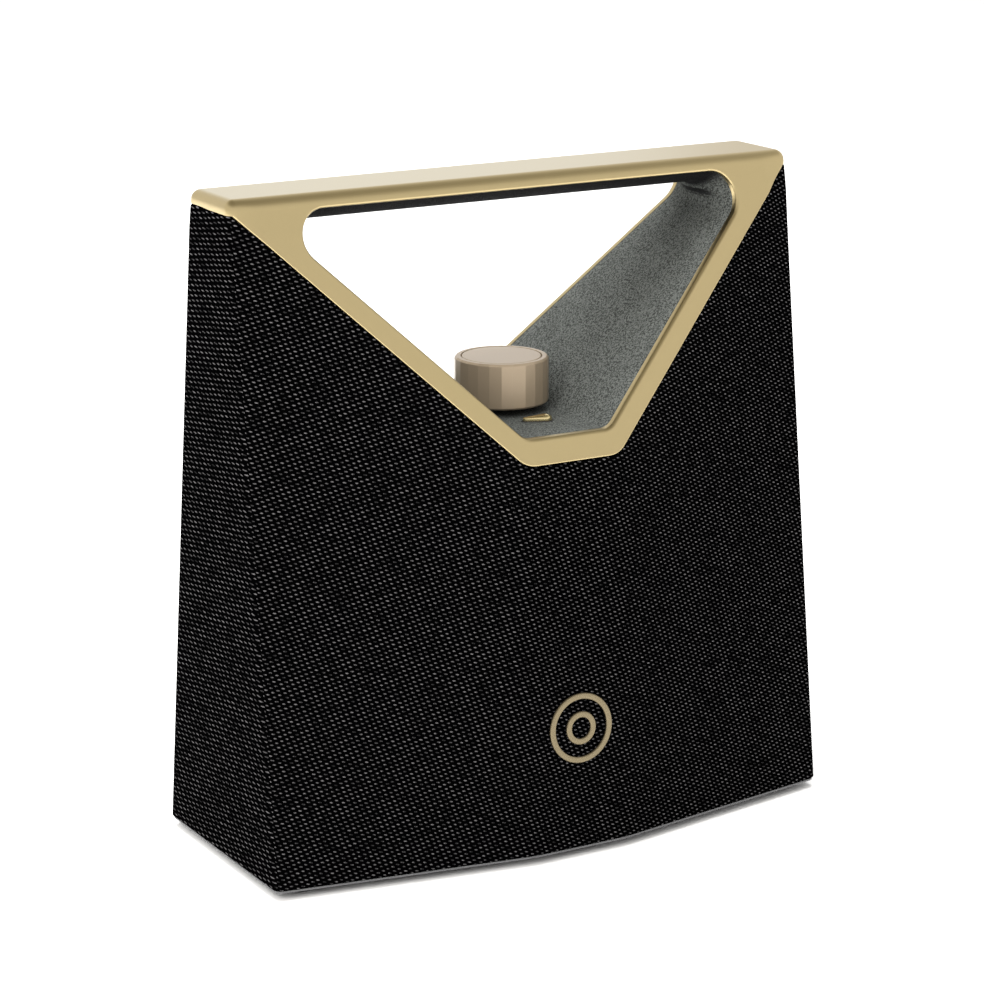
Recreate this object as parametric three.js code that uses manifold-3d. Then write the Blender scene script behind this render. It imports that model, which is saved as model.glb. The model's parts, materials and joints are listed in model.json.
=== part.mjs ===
// Tabletop wireless loudspeaker: a wedge cabinet in stretched woven fabric, with a
// metal-framed carrying opening through its top and a rotary knob on the opening's floor.
// Millimetres, +Z up, the front faces -Y. Origin: centre of the footprint, on the table.
// Heights below are measured from the underside of the base plate, which the feet lift.

import * as THREE from 'three';
import { mergeVertices } from 'three/addons/utils/BufferGeometryUtils.js';
import Module from 'manifold-3d';

const wasm = await Module();
wasm.setup();

// ---- driving dimensions ---------------------------------------------------------------

const gap = 0.3;                   // left between pieces that touch

const height = 265.5;              // base plate to the top of the handle
const halfWidthTop = 126.75;
const sideTaper = 1;               // each side edge stands this much wider at the base
const sideDepthTop = 17.3;         // half depth of the side edges
const sideDepthBase = 49.1;
const stripDepthBase = 66.9;       // half depth of the flat middle strip
const stripDepthTop = 58.4;
const sideRadius = 3.7;            // rounding of the upright side edges
const creaseRadiusBase = 36;       // soft roll between the front's three facets
const creaseRadiusTop = 6;
const handleEndFlat = 12;          // straight end of the handle's front edge

const openingFloor = 168.5;        // lining surface that the knob stands over
const openingFloorRadius = 8;
const openingTopRadius = 10.3;
const frameBand = 8.64;            // metal beside the opening
const frameBandBelow = 10.1;       // metal under the opening
const frameCornerRadius = 11;
const frameTipInset = 1.15;        // the frame's outer line stops this far from the side edge
const handleFace = 5.7;            // metal over the opening, as deep as the end caps
const frameThickness = 3;
const handlePlate = 2;

const liningThickness = 1.6;
const gripBulge = 6.5;             // how far the grip swells below the frame's edge
const wallBulge = 1;
const coreHalfDepth = 11;
const coreEndInset = 3.6;

const fabricThickness = 1.8;
const grilleThickness = 1.8;
const cabinetWall = 3;
const cavityBelowHandle = 19.8;    // solid wing over the cabinet's inside
const basePlate = 1.3;
const basePlateInset = 0.8;
const basePlateRim = 0.7;          // thickness of the plate's edge
const basePlateStep = 1.6;         // the plate is narrower by this under its edge

const footHeight = 2.5;
const footRadius = 6.5;
const footInsetX = 8.65;           // from the cloth's side and front edges to the foot
const footInsetY = 4.2;

const windowFloor = 14;            // baffle windows in the cabinet
const windowShoulder = 58.75;      // from the side edge to where the window's slope ends
const windowSide = 20;
const windowBelowFrame = 10;

const knobRadius = 19;
const knobHeight = 18.7;
const knobLift = 3.1;              // clear height under the knob
const knobSide = 0.2;              // the opening's floor is this much wider than the knob
const knobFacets = 24;
const knobY = -2.2;
const knobRim = 3;                 // from the cap's edge to the knob's
const knobCapDepth = 1.1;
const shaftRadius = 3;
const shaftFit = 0.1;
const bushingRadius = 4.4;
const encoderWidth = 13;
const encoderHeight = 6.8;
const nutRadius = 7.2;
const nutHeight = 1.3;

const keyLength = 8;               // between the centres of the key's two ends
const keyNarrow = 1;
const keyWide = 2.9;
const keyProud = 2.6;
const keyTurn = -13.2;             // degrees from +X
const keyTravel = 4.4;             // degrees about its pin
const keyStartX = -3.6;
const keyBeforeKnob = 6;           // from the knob's rim forwards to the key's narrow end
const keyClear = 0.5;
const bezelWall = 1;
const keyPinRadius = 0.5;

const badgeRadius = 14.3;
const badgeBand = 2.5;
const badgeThickness = 1;
const badgeInnerRadius = 6.8;
const badgeHeight = 51;

const wooferRadius = 42.6;
const wooferFlange = 8.6;          // from the surround's middle to the rim
const wooferTravel = 2.5;
const wooferOverFloor = 3.4;       // from the baffle window's floor to the rim
const tweeterRadius = 22;
const tweeterClear = 11.2;         // from the rim to the baffle window's sloping edge
const radiatorRadius = 34;
const radiatorPlate = 21;
const radiatorTravel = 3;
const radiatorClear = 9.6;         // from the rim to the side of the baffle window
const radiatorHeight = 72;

const portWidth = 34;
const portTall = 12;
const portHeight = 27;

// ---- solids ---------------------------------------------------------------------------

// A closed solid from a three.js geometry, with its faces turned outwards.
function solid(geometry) {
  const bare = geometry.index ? geometry.toNonIndexed() : geometry.clone();
  for (const name of Object.keys(bare.attributes)) {
    if (name !== 'position') bare.deleteAttribute(name);
  }
  const merged = mergeVertices(bare, 1e-4);
  const points = merged.attributes.position.array;
  const faces = [];
  let volume = 0;
  const a = new THREE.Vector3(), b = new THREE.Vector3(), c = new THREE.Vector3();
  for (let i = 0; i < merged.index.count; i += 3) {
    const [p, q, r] = [0, 1, 2].map((k) => merged.index.getX(i + k));
    if (p === q || q === r || r === p) continue;
    a.fromArray(points, 3 * p);
    b.fromArray(points, 3 * q);
    c.fromArray(points, 3 * r);
    volume += a.dot(b.cross(c));
    faces.push([p, q, r]);
  }
  const order = volume > 0 ? faces : faces.map(([p, q, r]) => [p, r, q]);
  return new wasm.Manifold(new wasm.Mesh({
    numProp: 3,
    vertProperties: new Float32Array(points),
    triVerts: new Uint32Array(order.flat()),
  }));
}

function toGeometry(body) {
  const mesh = body.asOriginal().getMesh();
  const geometry = new THREE.BufferGeometry();
  geometry.setAttribute('position', new THREE.BufferAttribute(mesh.vertProperties, 3));
  geometry.setIndex(new THREE.BufferAttribute(mesh.triVerts, 1));
  return geometry;
}

const moved = (geometry, x, y, z) => geometry.translate(x, y, z);

// An outline of [x, y] points as a THREE.Shape.
const shapeOf = (points) => new THREE.Shape(points.map(([x, y]) => new THREE.Vector2(x, y)));

function extruded(points, depth, holes = []) {
  const shape = shapeOf(points);
  shape.holes = holes.map(shapeOf);
  return new THREE.ExtrudeGeometry(shape, { depth, bevelEnabled: false });
}

// Outlines drawn in plan and raised along Z, or in elevation (X, Z) and run along Y,
// or in side view (Y, Z) and run along X.
const prismZ = (points, z0, z1, holes) => moved(extruded(points, z1 - z0, holes), 0, 0, z0);

const prismY = (points, y0, y1, holes) => moved(
  extruded(points, y1 - y0, holes).rotateX(Math.PI / 2), 0, y1, 0);

const alongX = new THREE.Matrix4().makeBasis(
  new THREE.Vector3(0, 1, 0), new THREE.Vector3(0, 0, 1), new THREE.Vector3(1, 0, 0));
const prismX = (points, x0, x1) => moved(
  extruded(points, x1 - x0).applyMatrix4(alongX), x0, 0, 0);

const box = (x0, x1, y0, y1, z0, z1) => moved(
  new THREE.BoxGeometry(x1 - x0, y1 - y0, z1 - z0), (x0 + x1) / 2, (y0 + y1) / 2, (z0 + z1) / 2);

// Turned about Z from [radius, z] points.
const turned = (profile, segments = 20) => new THREE.LatheGeometry(
  profile.map(([r, z]) => new THREE.Vector2(r, z)), segments).rotateX(Math.PI / 2);

// Turned about Y from [radius, y] points: the way the drive units face.
const turnedY = (profile, segments = 20) => new THREE.LatheGeometry(
  profile.map(([r, y]) => new THREE.Vector2(r, y)), segments);

const rodZ = (r, z0, z1, segments = 16) => turned([[0, z0], [r, z0], [r, z1], [0, z1]], segments);
const rodY = (r, y0, y1, segments = 20) => turnedY([[0, y0], [r, y0], [r, y1], [0, y1]], segments);

const screwSides = 10;
const postZ = (x, y, r, z0, z1) => solid(moved(rodZ(r, z0, z1, screwSides), x, y, 0));

const ringProfile = (inner, outer, low, high) => [
  [inner, low], [outer, low], [outer, high], [inner, high], [inner, low]];

// ---- outlines -------------------------------------------------------------------------

// A convex anticlockwise outline with each edge moved outwards by its own distance.
function offsetCorners(corners, distance) {
  const count = corners.length;
  const edges = corners.map(([x0, y0], i) => {
    const [x1, y1] = corners[(i + 1) % count];
    const length = Math.hypot(x1 - x0, y1 - y0);
    const [dx, dy] = [(x1 - x0) / length, (y1 - y0) / length];
    return { x: x0 + dy * distance, y: y0 - dx * distance, dx, dy };
  });
  return edges.map((edge, i) => {
    const before = edges[(i + count - 1) % count];
    const cross = before.dx * edge.dy - before.dy * edge.dx;
    if (Math.abs(cross) < 1e-6) return [edge.x, edge.y];
    const t = ((edge.x - before.x) * edge.dy - (edge.y - before.y) * edge.dx) / cross;
    return [before.x + before.dx * t, before.y + before.dy * t];
  });
}

// Rounds each corner of a convex anticlockwise outline with an arc, in its own number of steps.
function roundedLoop(corners, radii, steps) {
  const count = corners.length;
  const loop = [];
  corners.forEach(([x, y], i) => {
    const before = corners[(i + count - 1) % count];
    const after = corners[(i + 1) % count];
    const inLength = Math.hypot(x - before[0], y - before[1]);
    const outLength = Math.hypot(after[0] - x, after[1] - y);
    const into = [(x - before[0]) / inLength, (y - before[1]) / inLength];
    const out = [(after[0] - x) / outLength, (after[1] - y) / outLength];
    const turn = Math.atan2(into[0] * out[1] - into[1] * out[0], into[0] * out[0] + into[1] * out[1]);
    const tangent = Math.min(
      Math.max(radii[i] * Math.tan(turn / 2), gap), 0.6 * inLength, 0.6 * outLength);
    const radius = tangent / Math.tan(Math.max(turn, 1e-4) / 2);
    for (let k = 0; k <= steps[i]; k++) {
      const angle = turn * k / steps[i];
      const [sine, rise] = [radius * Math.sin(angle), radius * (1 - Math.cos(angle))];
      loop.push([
        x + into[0] * (sine - tangent) - into[1] * rise,
        y + into[1] * (sine - tangent) + into[0] * rise,
      ]);
    }
  });
  return loop;
}

// ---- the outer form -------------------------------------------------------------------

const mix = (a, b, t) => a + (b - a) * Math.min(Math.max(t, 0), 1);
const halfWidthBase = halfWidthTop + sideTaper;
const halfWidthAt = (z) => mix(halfWidthBase, halfWidthTop, z / height);
const sideDepthAt = (z) => mix(sideDepthBase, sideDepthTop, z / height);

const openingTop = height - handleFace;
const floorHalfWidth = knobRadius + knobSide;
const knobCapRadius = knobRadius - knobRim;
const frameFoot = openingFloor - frameBandBelow;      // where the metal frame starts

// The frame's outer edge rises from the middle strip to the side edges, and stays
// frameBand away from the corner of the opening's floor.
const frameTip = halfWidthTop - frameTipInset;
const reach = Math.hypot(frameTip - floorHalfWidth, openingTop - openingFloor);
const frameAngle = Math.atan2(openingTop - openingFloor, frameTip - floorHalfWidth)
  + Math.asin(frameBand / reach);
const frameSlope = Math.tan(frameAngle);
const frameEdgeX = (z) => frameTip - (openingTop - z) / frameSlope;
const stripHalfWidth = frameEdgeX(frameFoot);
const openingTopHalfWidth = floorHalfWidth + (openingTop - openingFloor) / frameSlope;

// The frame's plane leans back from the middle strip's top to the handle's edge.
const lean = (stripDepthTop - sideDepthTop) / (height - frameFoot);
const leanAngle = Math.atan(lean);
const frameDepthAt = (z) => stripDepthTop - lean * (z - frameFoot);
const frameBack = frameThickness / Math.cos(leanAngle);

const creaseXAt = (z) => (z <= frameFoot ? stripHalfWidth
  : Math.min(frameEdgeX(z), halfWidthAt(z) - handleEndFlat));
const stripDepthAt = (z) => (z <= frameFoot
  ? mix(stripDepthBase, stripDepthTop, z / frameFoot) : frameDepthAt(z));

// Plan section at a height, anticlockwise from the front left side edge, inset inwards.
function sectionCorners(level, inset) {
  const z = Math.min(Math.max(level, 0), height);
  const [w, d] = [halfWidthAt(z), sideDepthAt(z)];
  const [x, y] = [creaseXAt(z), stripDepthAt(z)];
  return offsetCorners(
    [[-w, -d], [-x, -y], [x, -y], [w, -d], [w, d], [x, y], [-x, y], [-w, d]], -inset);
}

function section(z, inset) {
  const side = Math.max(sideRadius - inset, 1);
  const crease = mix(creaseRadiusBase, creaseRadiusTop, z / frameFoot);
  const radii = [side, crease, crease, side, side, crease, crease, side];
  return roundedLoop(sectionCorners(z, inset), radii, [3, 1, 1, 3, 3, 1, 1, 3]);
}

const formBreaks = [0, 8, frameFoot / 3, frameFoot * 2 / 3, frameFoot,
  openingTop - handleEndFlat * Math.tan(frameAngle), openingTop];

// The outer form between two heights, inset inwards: a loft of its plan sections.
function form(inset, z0, z1) {
  const levels = [z0, ...formBreaks.filter((z) => z > z0 && z < z1), z1];
  const loops = levels.map((z) => section(z, inset).map(([x, y]) => [x, y, z]));
  const count = loops[0].length;
  const index = [];
  for (let level = 0; level + 1 < levels.length; level++) {
    for (let i = 0; i < count; i++) {
      const [a, b] = [level * count + i, level * count + (i + 1) % count];
      index.push(a, b, b + count, a, b + count, a + count);
    }
  }
  const top = (levels.length - 1) * count;
  for (let i = 1; i + 1 < count; i++) {
    index.push(0, i + 1, i, top, top + i, top + i + 1);
  }
  const geometry = new THREE.BufferGeometry();
  geometry.setAttribute('position', new THREE.Float32BufferAttribute(loops.flat(2), 3));
  geometry.setIndex(index);
  return solid(geometry);
}

// Half depth of the form at a point in elevation, inset inwards.
function depthAt(x, z, inset) {
  const [, , crease, side] = sectionCorners(z, inset);
  const share = Math.max((Math.abs(x) - crease[0]) / (side[0] - crease[0]), 0);
  return -mix(crease[1], side[1], share);
}

const far = 200;                   // reaches past the form in any direction
const beyond = 5;                  // runs a cut past the face it goes through

function frameOutline(outset) {
  const rise = height + 30;
  const corners = offsetCorners([
    [-stripHalfWidth, frameFoot], [stripHalfWidth, frameFoot],
    [frameEdgeX(rise), rise], [-frameEdgeX(rise), rise]], outset);
  const radius = frameCornerRadius + outset;
  return roundedLoop(corners, [radius, radius, 1, 1], [4, 4, 1, 1]);
}

function openingOutline(outset) {
  const corners = offsetCorners([
    [-floorHalfWidth, openingFloor], [floorHalfWidth, openingFloor],
    [openingTopHalfWidth, openingTop], [-openingTopHalfWidth, openingTop]], outset);
  const [low, high] = [openingFloorRadius + outset, openingTopRadius + outset];
  return roundedLoop(corners, [low, low, high, high], [3, 3, 7, 7]);
}

// The layer behind the leaning frame plane, between two depths: side -1 is the front.
function frameLayer(from, to, side) {
  const along = [lean, 1].map((v) => v * Math.cos(leanAngle));
  const inward = [along[1], -along[0]];
  const foot = [-stripDepthTop - along[0] * 40, frameFoot - along[1] * 40];
  const head = [-sideDepthTop + along[0] * 40, height + along[1] * 40];
  const at = ([y, z], depth) => [(y + inward[0] * depth) * -side, z + inward[1] * depth];
  return solid(prismX([at(foot, from), at(foot, to), at(head, to), at(head, from)], -far, far));
}

// Stands a piece on the front (side -1) or the back of the form: its own -Y faces out.
function onFace(x, z, side) {
  const step = 1;
  const flare = (depthAt(x + step, z, 0) - depthAt(x - step, z, 0)) / (2 * step);
  const rake = (depthAt(x, z + step, 0) - depthAt(x, z - step, 0)) / (2 * step);
  const group = new THREE.Group();
  group.position.set(x, side * depthAt(x, z, 0), z);
  group.rotation.set(Math.atan(rake), 0,
    side < 0 ? -Math.atan(flare) : Math.PI + Math.atan(flare), 'ZXY');
  group.updateMatrix();
  return group;
}

// ---- the scene ------------------------------------------------------------------------

const group = new THREE.Group();
const speaker = new THREE.Group();
speaker.position.z = footHeight;
group.add(speaker);

const paint = (color, roughness, metalness) => new THREE.MeshStandardMaterial({
  color, roughness, metalness });
const finishes = {
  champagne: () => paint(0xcdbe91, 0.32, 1),
  knobMetal: () => paint(0xc2ae93, 0.38, 1),
  brass: () => paint(0xd8c071, 0.12, 1),
  suede: () => paint(0x5b5f5c, 0.95, 0),
  cloth: () => paint(0x0b0b0c, 0.9, 0),
  blackPlastic: () => paint(0x161617, 0.5, 0),
  greyPlastic: () => paint(0x77787a, 0.45, 0),
  rubber: () => paint(0x101010, 0.9, 0),
  steel: () => paint(0x9a9ca0, 0.35, 1),
  aluminium: () => paint(0xb5b7ba, 0.35, 1),
  paper: () => paint(0x202022, 0.85, 0),
  copper: () => paint(0xb26a3c, 0.35, 1),
  board: () => paint(0x1b4a32, 0.55, 0),
  cell: () => paint(0x2b4d8a, 0.5, 0),
};

function add(name, body, finish, parent = speaker) {
  const geometry = body instanceof THREE.BufferGeometry ? toGeometry(solid(body)) : toGeometry(body);
  geometry.computeVertexNormals();
  const mesh = new THREE.Mesh(geometry, finishes[finish]());
  mesh.name = name;
  parent.add(mesh);
  return mesh;
}

// ---- frame and handle -----------------------------------------------------------------

const frameRing = solid(prismY(frameOutline(-gap / 2), -far, far))
  .subtract(solid(prismY(openingOutline(0), -far, far)));
const openSlot = solid(prismY(frameOutline(gap / 2), -far, far));

function addFrames() {
  const whole = form(0, frameFoot - frameCornerRadius, height);
  const frontRing = frameRing.intersect(frameLayer(-beyond, frameThickness, -1)).intersect(whole);
  const cap = form(0, openingTop + gap / 2, height)
    .subtract(form(handlePlate, -beyond, height - handlePlate))
    .subtract(frameLayer(-beyond, frameThickness + gap, 1).intersect(
      solid(box(-far, far, -far, far, 0, height - handlePlate))));
  add('handle_frame', frontRing.add(cap), 'champagne');
  const under = form(0, frameFoot - frameCornerRadius, height - handlePlate - gap);
  add('rear_frame', frameRing.intersect(frameLayer(-beyond, frameThickness, 1)).intersect(under),
    'champagne');
}
addFrames();

// How far the lining swells into the opening: full over the grip, slight on the walls
// and nothing on the floor. up is the outward direction's vertical share.
const smooth = (t) => t * t * (3 - 2 * t);
const wallUp = -Math.cos(frameAngle);
function bulgeToward(up) {
  if (up > wallUp) return mix(wallBulge, gripBulge, smooth(mix(0, 1, (up - wallUp) / (0.3 - wallUp))));
  return mix(0, wallBulge, (up + 1) / (wallUp + 1));
}
const liningDepthAt = (z) => frameDepthAt(z) - frameBack - gap;

// The lining's stations from front (-1) to back (1), and the height of its hidden side
// over the grip at a depth y, straight between the stations.
const liningStations = [-1, -0.72, -0.38, 0, 0.38, 0.72, 1];
const gripStations = liningStations.map((v) => [
  v * liningDepthAt(openingTop + liningThickness),
  openingTop + liningThickness - gripBulge * (1 - v * v)]);
function gripTopAt(y) {
  const i = Math.max(gripStations.findIndex(([depth]) => depth >= y), 1);
  const [[y0, z0], [y1, z1]] = [gripStations[i - 1], gripStations[i]];
  return mix(z0, z1, (y - y0) / (y1 - y0));
}
const coreFlat = gripTopAt(coreHalfDepth) + gap;
const screwX = halfWidthTop - coreEndInset - 7.4;
const handleScrews = [[-screwX, -6], [screwX, -6], [-screwX, 6], [screwX, 6]];
const screwHead = { radius: 2.8, thickness: 1.6, shank: 1.5, length: 12 };

function addHandle() {
  const stations = liningStations;
  const skins = [0, liningThickness].map((outset) => openingOutline(outset));
  const count = skins[0].length;
  const positions = [];
  skins.forEach((skin) => stations.forEach((v) => skin.forEach(([x, z], i) => {
    const outX = (skins[1][i][0] - skins[0][i][0]) / liningThickness;
    const outZ = (skins[1][i][1] - skins[0][i][1]) / liningThickness;
    const swell = bulgeToward(outZ) * (1 - v * v);
    positions.push(x - outX * swell, v * liningDepthAt(z), z - outZ * swell);
  })));
  const at = (skin, station, i) => (skin * stations.length + station) * count + i % count;
  const index = [];
  for (let i = 0; i < count; i++) {
    for (let s = 0; s + 1 < stations.length; s++) {
      const [a, b, c, d] = [at(0, s, i), at(0, s, i + 1), at(0, s + 1, i + 1), at(0, s + 1, i)];
      const shift = stations.length * count;
      index.push(a, b, c, a, c, d);
      index.push(a + shift, c + shift, b + shift, a + shift, d + shift, c + shift);
    }
    const last = stations.length - 1;
    index.push(at(0, 0, i), at(1, 0, i), at(1, 0, i + 1), at(0, 0, i), at(1, 0, i + 1), at(0, 0, i + 1));
    index.push(at(0, last, i), at(1, last, i + 1), at(1, last, i));
    index.push(at(0, last, i), at(0, last, i + 1), at(1, last, i + 1));
  }
  const skinGeometry = new THREE.BufferGeometry();
  skinGeometry.setAttribute('position', new THREE.Float32BufferAttribute(positions, 3));
  skinGeometry.setIndex(index);
  add('handle_lining', solid(skinGeometry).subtract(nutWell()).subtract(keyHole()), 'suede');

  // flat strap on the two wings, swelling down between them to fill the grip
  const between = gripStations.map(([y]) => y).filter((y) => Math.abs(y) < coreHalfDepth);
  const under = [-coreHalfDepth, ...between, coreHalfDepth].map((y) => [y, gripTopAt(y) + gap]);
  const coreTop = height - handlePlate - gap;
  const corner = openingTopRadius * Math.tan((Math.PI - frameAngle) / 2);
  const gripHalf = openingTopHalfWidth - corner;
  const strapHalf = halfWidthTop - coreEndInset;
  const strap = solid(box(-strapHalf, strapHalf, -coreHalfDepth, coreHalfDepth, coreFlat, coreTop));
  const grip = solid(prismX([...under, [coreHalfDepth, coreTop], [-coreHalfDepth, coreTop]],
    -gripHalf, gripHalf));
  let core = strap.add(grip);
  for (const [x, y] of handleScrews) {
    core = core.subtract(postZ(x, y, screwHead.shank + gap, 0, far * 2))
      .subtract(postZ(x, y, screwHead.radius + gap, coreTop - screwHead.thickness - gap, far * 2));
  }
  add('handle_core', core, 'aluminium');
  handleScrews.forEach(([x, y], i) => {
    const top = coreTop - gap / 2;
    const screw = turned([[0, top - screwHead.length], [screwHead.shank, top - screwHead.length],
      [screwHead.shank, top - screwHead.thickness], [screwHead.radius, top - screwHead.thickness],
      [screwHead.radius, top], [0, top]], screwSides);
    add(`handle_screw_${i + 1}`, moved(screw, x, y, 0), 'steel');
  });
}

// ---- knob and key on the opening's floor ----------------------------------------------

const cabinetFloorTop = openingFloor - liningThickness - gap;   // cabinet's tunnel floor
const cabinetFloorUnder = cabinetFloorTop - cabinetWall;
const encoderTop = cabinetFloorUnder - gap;
const boardTop = encoderTop - encoderHeight - gap;
const boardThickness = 1.6;

// Teardrop in plan from the narrow end at the origin to the wide end on +X.
function teardrop(outset, steps = 5) {
  const [r0, r1] = [keyNarrow + outset, keyWide + outset];
  const side = Math.acos((r0 - r1) / keyLength);
  const points = [];
  for (let k = 0; k <= steps; k++) {
    const angle = -side + 2 * side * k / steps;
    points.push([keyLength + r1 * Math.cos(angle), r1 * Math.sin(angle)]);
  }
  for (let k = 0; k <= steps; k++) {
    const angle = side + 2 * (Math.PI - side) * k / steps;
    points.push([r0 * Math.cos(angle), r0 * Math.sin(angle)]);
  }
  return points;
}

const keyPlace = new THREE.Matrix4().makeRotationZ(THREE.MathUtils.degToRad(keyTurn))
  .setPosition(keyStartX, knobY - knobRadius - keyBeforeKnob, 0);
const keyHole = () => solid(prismZ(teardrop(keyClear + bezelWall + gap), encoderTop, openingFloor + beyond)
  .applyMatrix4(keyPlace));
const nutWell = () => solid(moved(rodZ(nutRadius + 2 * gap, encoderTop, openingFloor + beyond), 0, knobY, 0));

function addKnob() {
  const low = openingFloor + knobLift;
  const high = low + knobHeight;
  const seat = high - knobCapDepth - gap;
  const bore = shaftRadius + shaftFit;
  const boreTop = seat - 3;
  const chamfer = 0.6;
  // facet corners lie on the knob's outer radius
  const body = turned([[bore, low], [knobRadius - chamfer, low], [knobRadius, low + chamfer],
    [knobRadius, high - chamfer], [knobRadius - chamfer, high], [knobCapRadius + gap, high],
    [knobCapRadius + gap, seat], [0, seat], [0, boreTop], [bore, boreTop], [bore, low]], knobFacets);
  const turnGroup = new THREE.Group();
  turnGroup.position.set(0, knobY, 0);
  speaker.add(turnGroup);
  add('volume_knob', body, 'knobMetal', turnGroup);
  add('knob_cap', rodZ(knobCapRadius, seat + gap, high - 0.1, 32), 'knobMetal', turnGroup);
  add('knob_shaft', rodZ(shaftRadius, encoderTop - encoderHeight + gap, boreTop - gap), 'steel', turnGroup);

  const half = encoderWidth / 2;
  const encoder = solid(box(-half, half, -half, half, encoderTop - encoderHeight, encoderTop))
    .add(solid(rodZ(bushingRadius, encoderTop - 1, openingFloor + knobLift - gap)))
    .subtract(solid(rodZ(bore, 0, far * 2)));
  add('knob_encoder', encoder, 'steel', turnGroup);
  const nut = solid(moved(rodZ(nutRadius, 0, nutHeight, 6), 0, 0, cabinetFloorTop + gap))
    .subtract(solid(rodZ(bushingRadius + gap, 0, far * 2)));
  add('encoder_nut', nut, 'steel', turnGroup);
}

function addKey() {
  const keyGroup = new THREE.Group();
  keyGroup.applyMatrix4(keyPlace);
  speaker.add(keyGroup);
  const top = openingFloor + keyProud;
  const under = openingFloor - 2.5;
  const pinZ = under - 1.4;
  const stemFoot = pinZ - 1.8;
  const stemRadius = 1.5;
  const pinBore = solid(rodY(keyPinRadius + 0.1, -far, far, 12).translate(0, 0, pinZ));
  // domed top: two shrinking teardrop layers over the straight sides
  const key = solid(prismZ(teardrop(0), under, top - 1.2))
    .add(solid(prismZ(teardrop(-0.35), top - 1.3, top - 0.5)))
    .add(solid(prismZ(teardrop(-0.8), top - 0.6, top)))
    .add(solid(box(-1, 1.4, -0.9, 0.9, pinZ - 1, under + 0.5)))
    .add(solid(moved(rodZ(stemRadius, stemFoot, under + 0.5, 12), keyLength, 0, 0)))
    .subtract(pinBore);
  add('power_key', key, 'brass', keyGroup);
  const bezel = solid(prismZ(teardrop(keyClear + bezelWall), pinZ - 0.9, openingFloor + 0.4,
    [teardrop(keyClear)])).subtract(pinBore);
  add('key_bezel', bezel, 'blackPlastic', keyGroup);
  const pinHalf = keyNarrow + keyClear + bezelWall - gap;
  add('key_pin', moved(rodY(keyPinRadius, -pinHalf, pinHalf, 12), 0, 0, pinZ), 'steel', keyGroup);
  // leaf spring: foot on the control board, tip under the middle of the key
  const leafFoot = boardTop + gap;
  const leafTip = under - gap;
  const leaf = [[-7, leafFoot], [-3.8, leafFoot], [-3.8, leafFoot + 0.4], [-6.4, leafFoot + 0.4],
    [-4.6, leafTip - 0.3], [-3, leafTip - 0.3], [-3, leafTip], [-5, leafTip]]
    .map(([x, z]) => [keyLength + x, z]);
  add('key_spring', prismY(leaf, -1, 1), 'steel', keyGroup);
  // the stem comes down on the plunger at the end of the key's travel
  const plungerTop = stemFoot - Math.sin(THREE.MathUtils.degToRad(keyTravel)) * keyLength - 0.1;
  const touch = solid(box(keyLength - 2.6, keyLength + 3, -2.8, 2.8, boardTop + gap, plungerTop - 1))
    .add(solid(moved(rodZ(stemRadius, plungerTop - 1.2, plungerTop, 12), keyLength, 0, 0)));
  add('key_switch', touch, 'blackPlastic', keyGroup);
}

function addControlBoard() {
  add('control_board', box(-20, 20, -38, 8, boardTop - boardThickness, boardTop), 'board');
}

// ---- cabinet --------------------------------------------------------------------------

const clothBack = fabricThickness + gap;
const grilleBack = clothBack + grilleThickness;
const cabinetFace = grilleBack + gap;
const cabinetFloor = basePlate + gap;
const [baseScrewX, baseScrewY] = [halfWidthTop - 41.6, 22];
const baseScrews = [[-baseScrewX, -baseScrewY], [baseScrewX, -baseScrewY],
  [-baseScrewX, baseScrewY], [baseScrewX, baseScrewY]];
const cabinetCavityTop = openingTop - cavityBelowHandle;
const tunnel = liningThickness + gap;

// The baffle's window: a level middle under the frame, then slopes beside it up to a
// shoulder, and straight sides.
const windowHalfWidth = halfWidthTop - windowSide;
const windowDrop = (outset) => (windowBelowFrame - outset) / Math.cos(frameAngle);
const windowTop = frameFoot - windowDrop(0)
  + (halfWidthTop - windowShoulder - stripHalfWidth) * frameSlope;

function windowOutline(outset) {
  const side = windowHalfWidth + outset;
  const edgeX = (z) => stripHalfWidth + (z - frameFoot + windowDrop(outset)) / frameSlope;
  const middle = frameFoot - windowBelowFrame + outset;
  const high = windowTop + outset;
  return [[-side, windowFloor - outset], [side, windowFloor - outset], [side, high],
    [edgeX(high), high], [edgeX(middle), middle], [-edgeX(middle), middle],
    [-edgeX(high), high], [-side, high]];
}

const wooferSides = 24;
const wooferRoll = wooferRadius - wooferFlange;
const wooferHeight = windowFloor + wooferRadius + wooferOverFloor;
const wooferRim = Array.from({ length: wooferSides }, (_, i) => 2 * Math.PI * i / wooferSides);
const rimDepth = (radius) => Math.min(...wooferRim.map((angle) => depthAt(
  radius * Math.cos(angle), wooferHeight + radius * Math.sin(angle), grilleBack)));
const rollHeight = 2.5;
const wooferFace = Math.min(rimDepth(wooferRoll) - rollHeight - wooferTravel - 0.8, rimDepth(wooferRadius) - 1);
const flange = 2.5;

const tweeterX = windowHalfWidth - tweeterRadius - 7;
const tweeterHeight = frameFoot - windowDrop(0)
  + (tweeterX - stripHalfWidth) * frameSlope - (tweeterRadius + tweeterClear) / Math.cos(frameAngle);
const radiatorX = windowHalfWidth - radiatorRadius - radiatorClear;
const tweeters = { left: onFace(-tweeterX, tweeterHeight, -1), right: onFace(tweeterX, tweeterHeight, -1) };
const radiators = { left: onFace(-radiatorX, radiatorHeight, 1), right: onFace(radiatorX, radiatorHeight, 1) };
const port = onFace(0, portHeight, 1);
const tweeterFace = cabinetFace + 1;
const radiatorFace = cabinetFace + rollHeight + radiatorTravel + 1;

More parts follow.
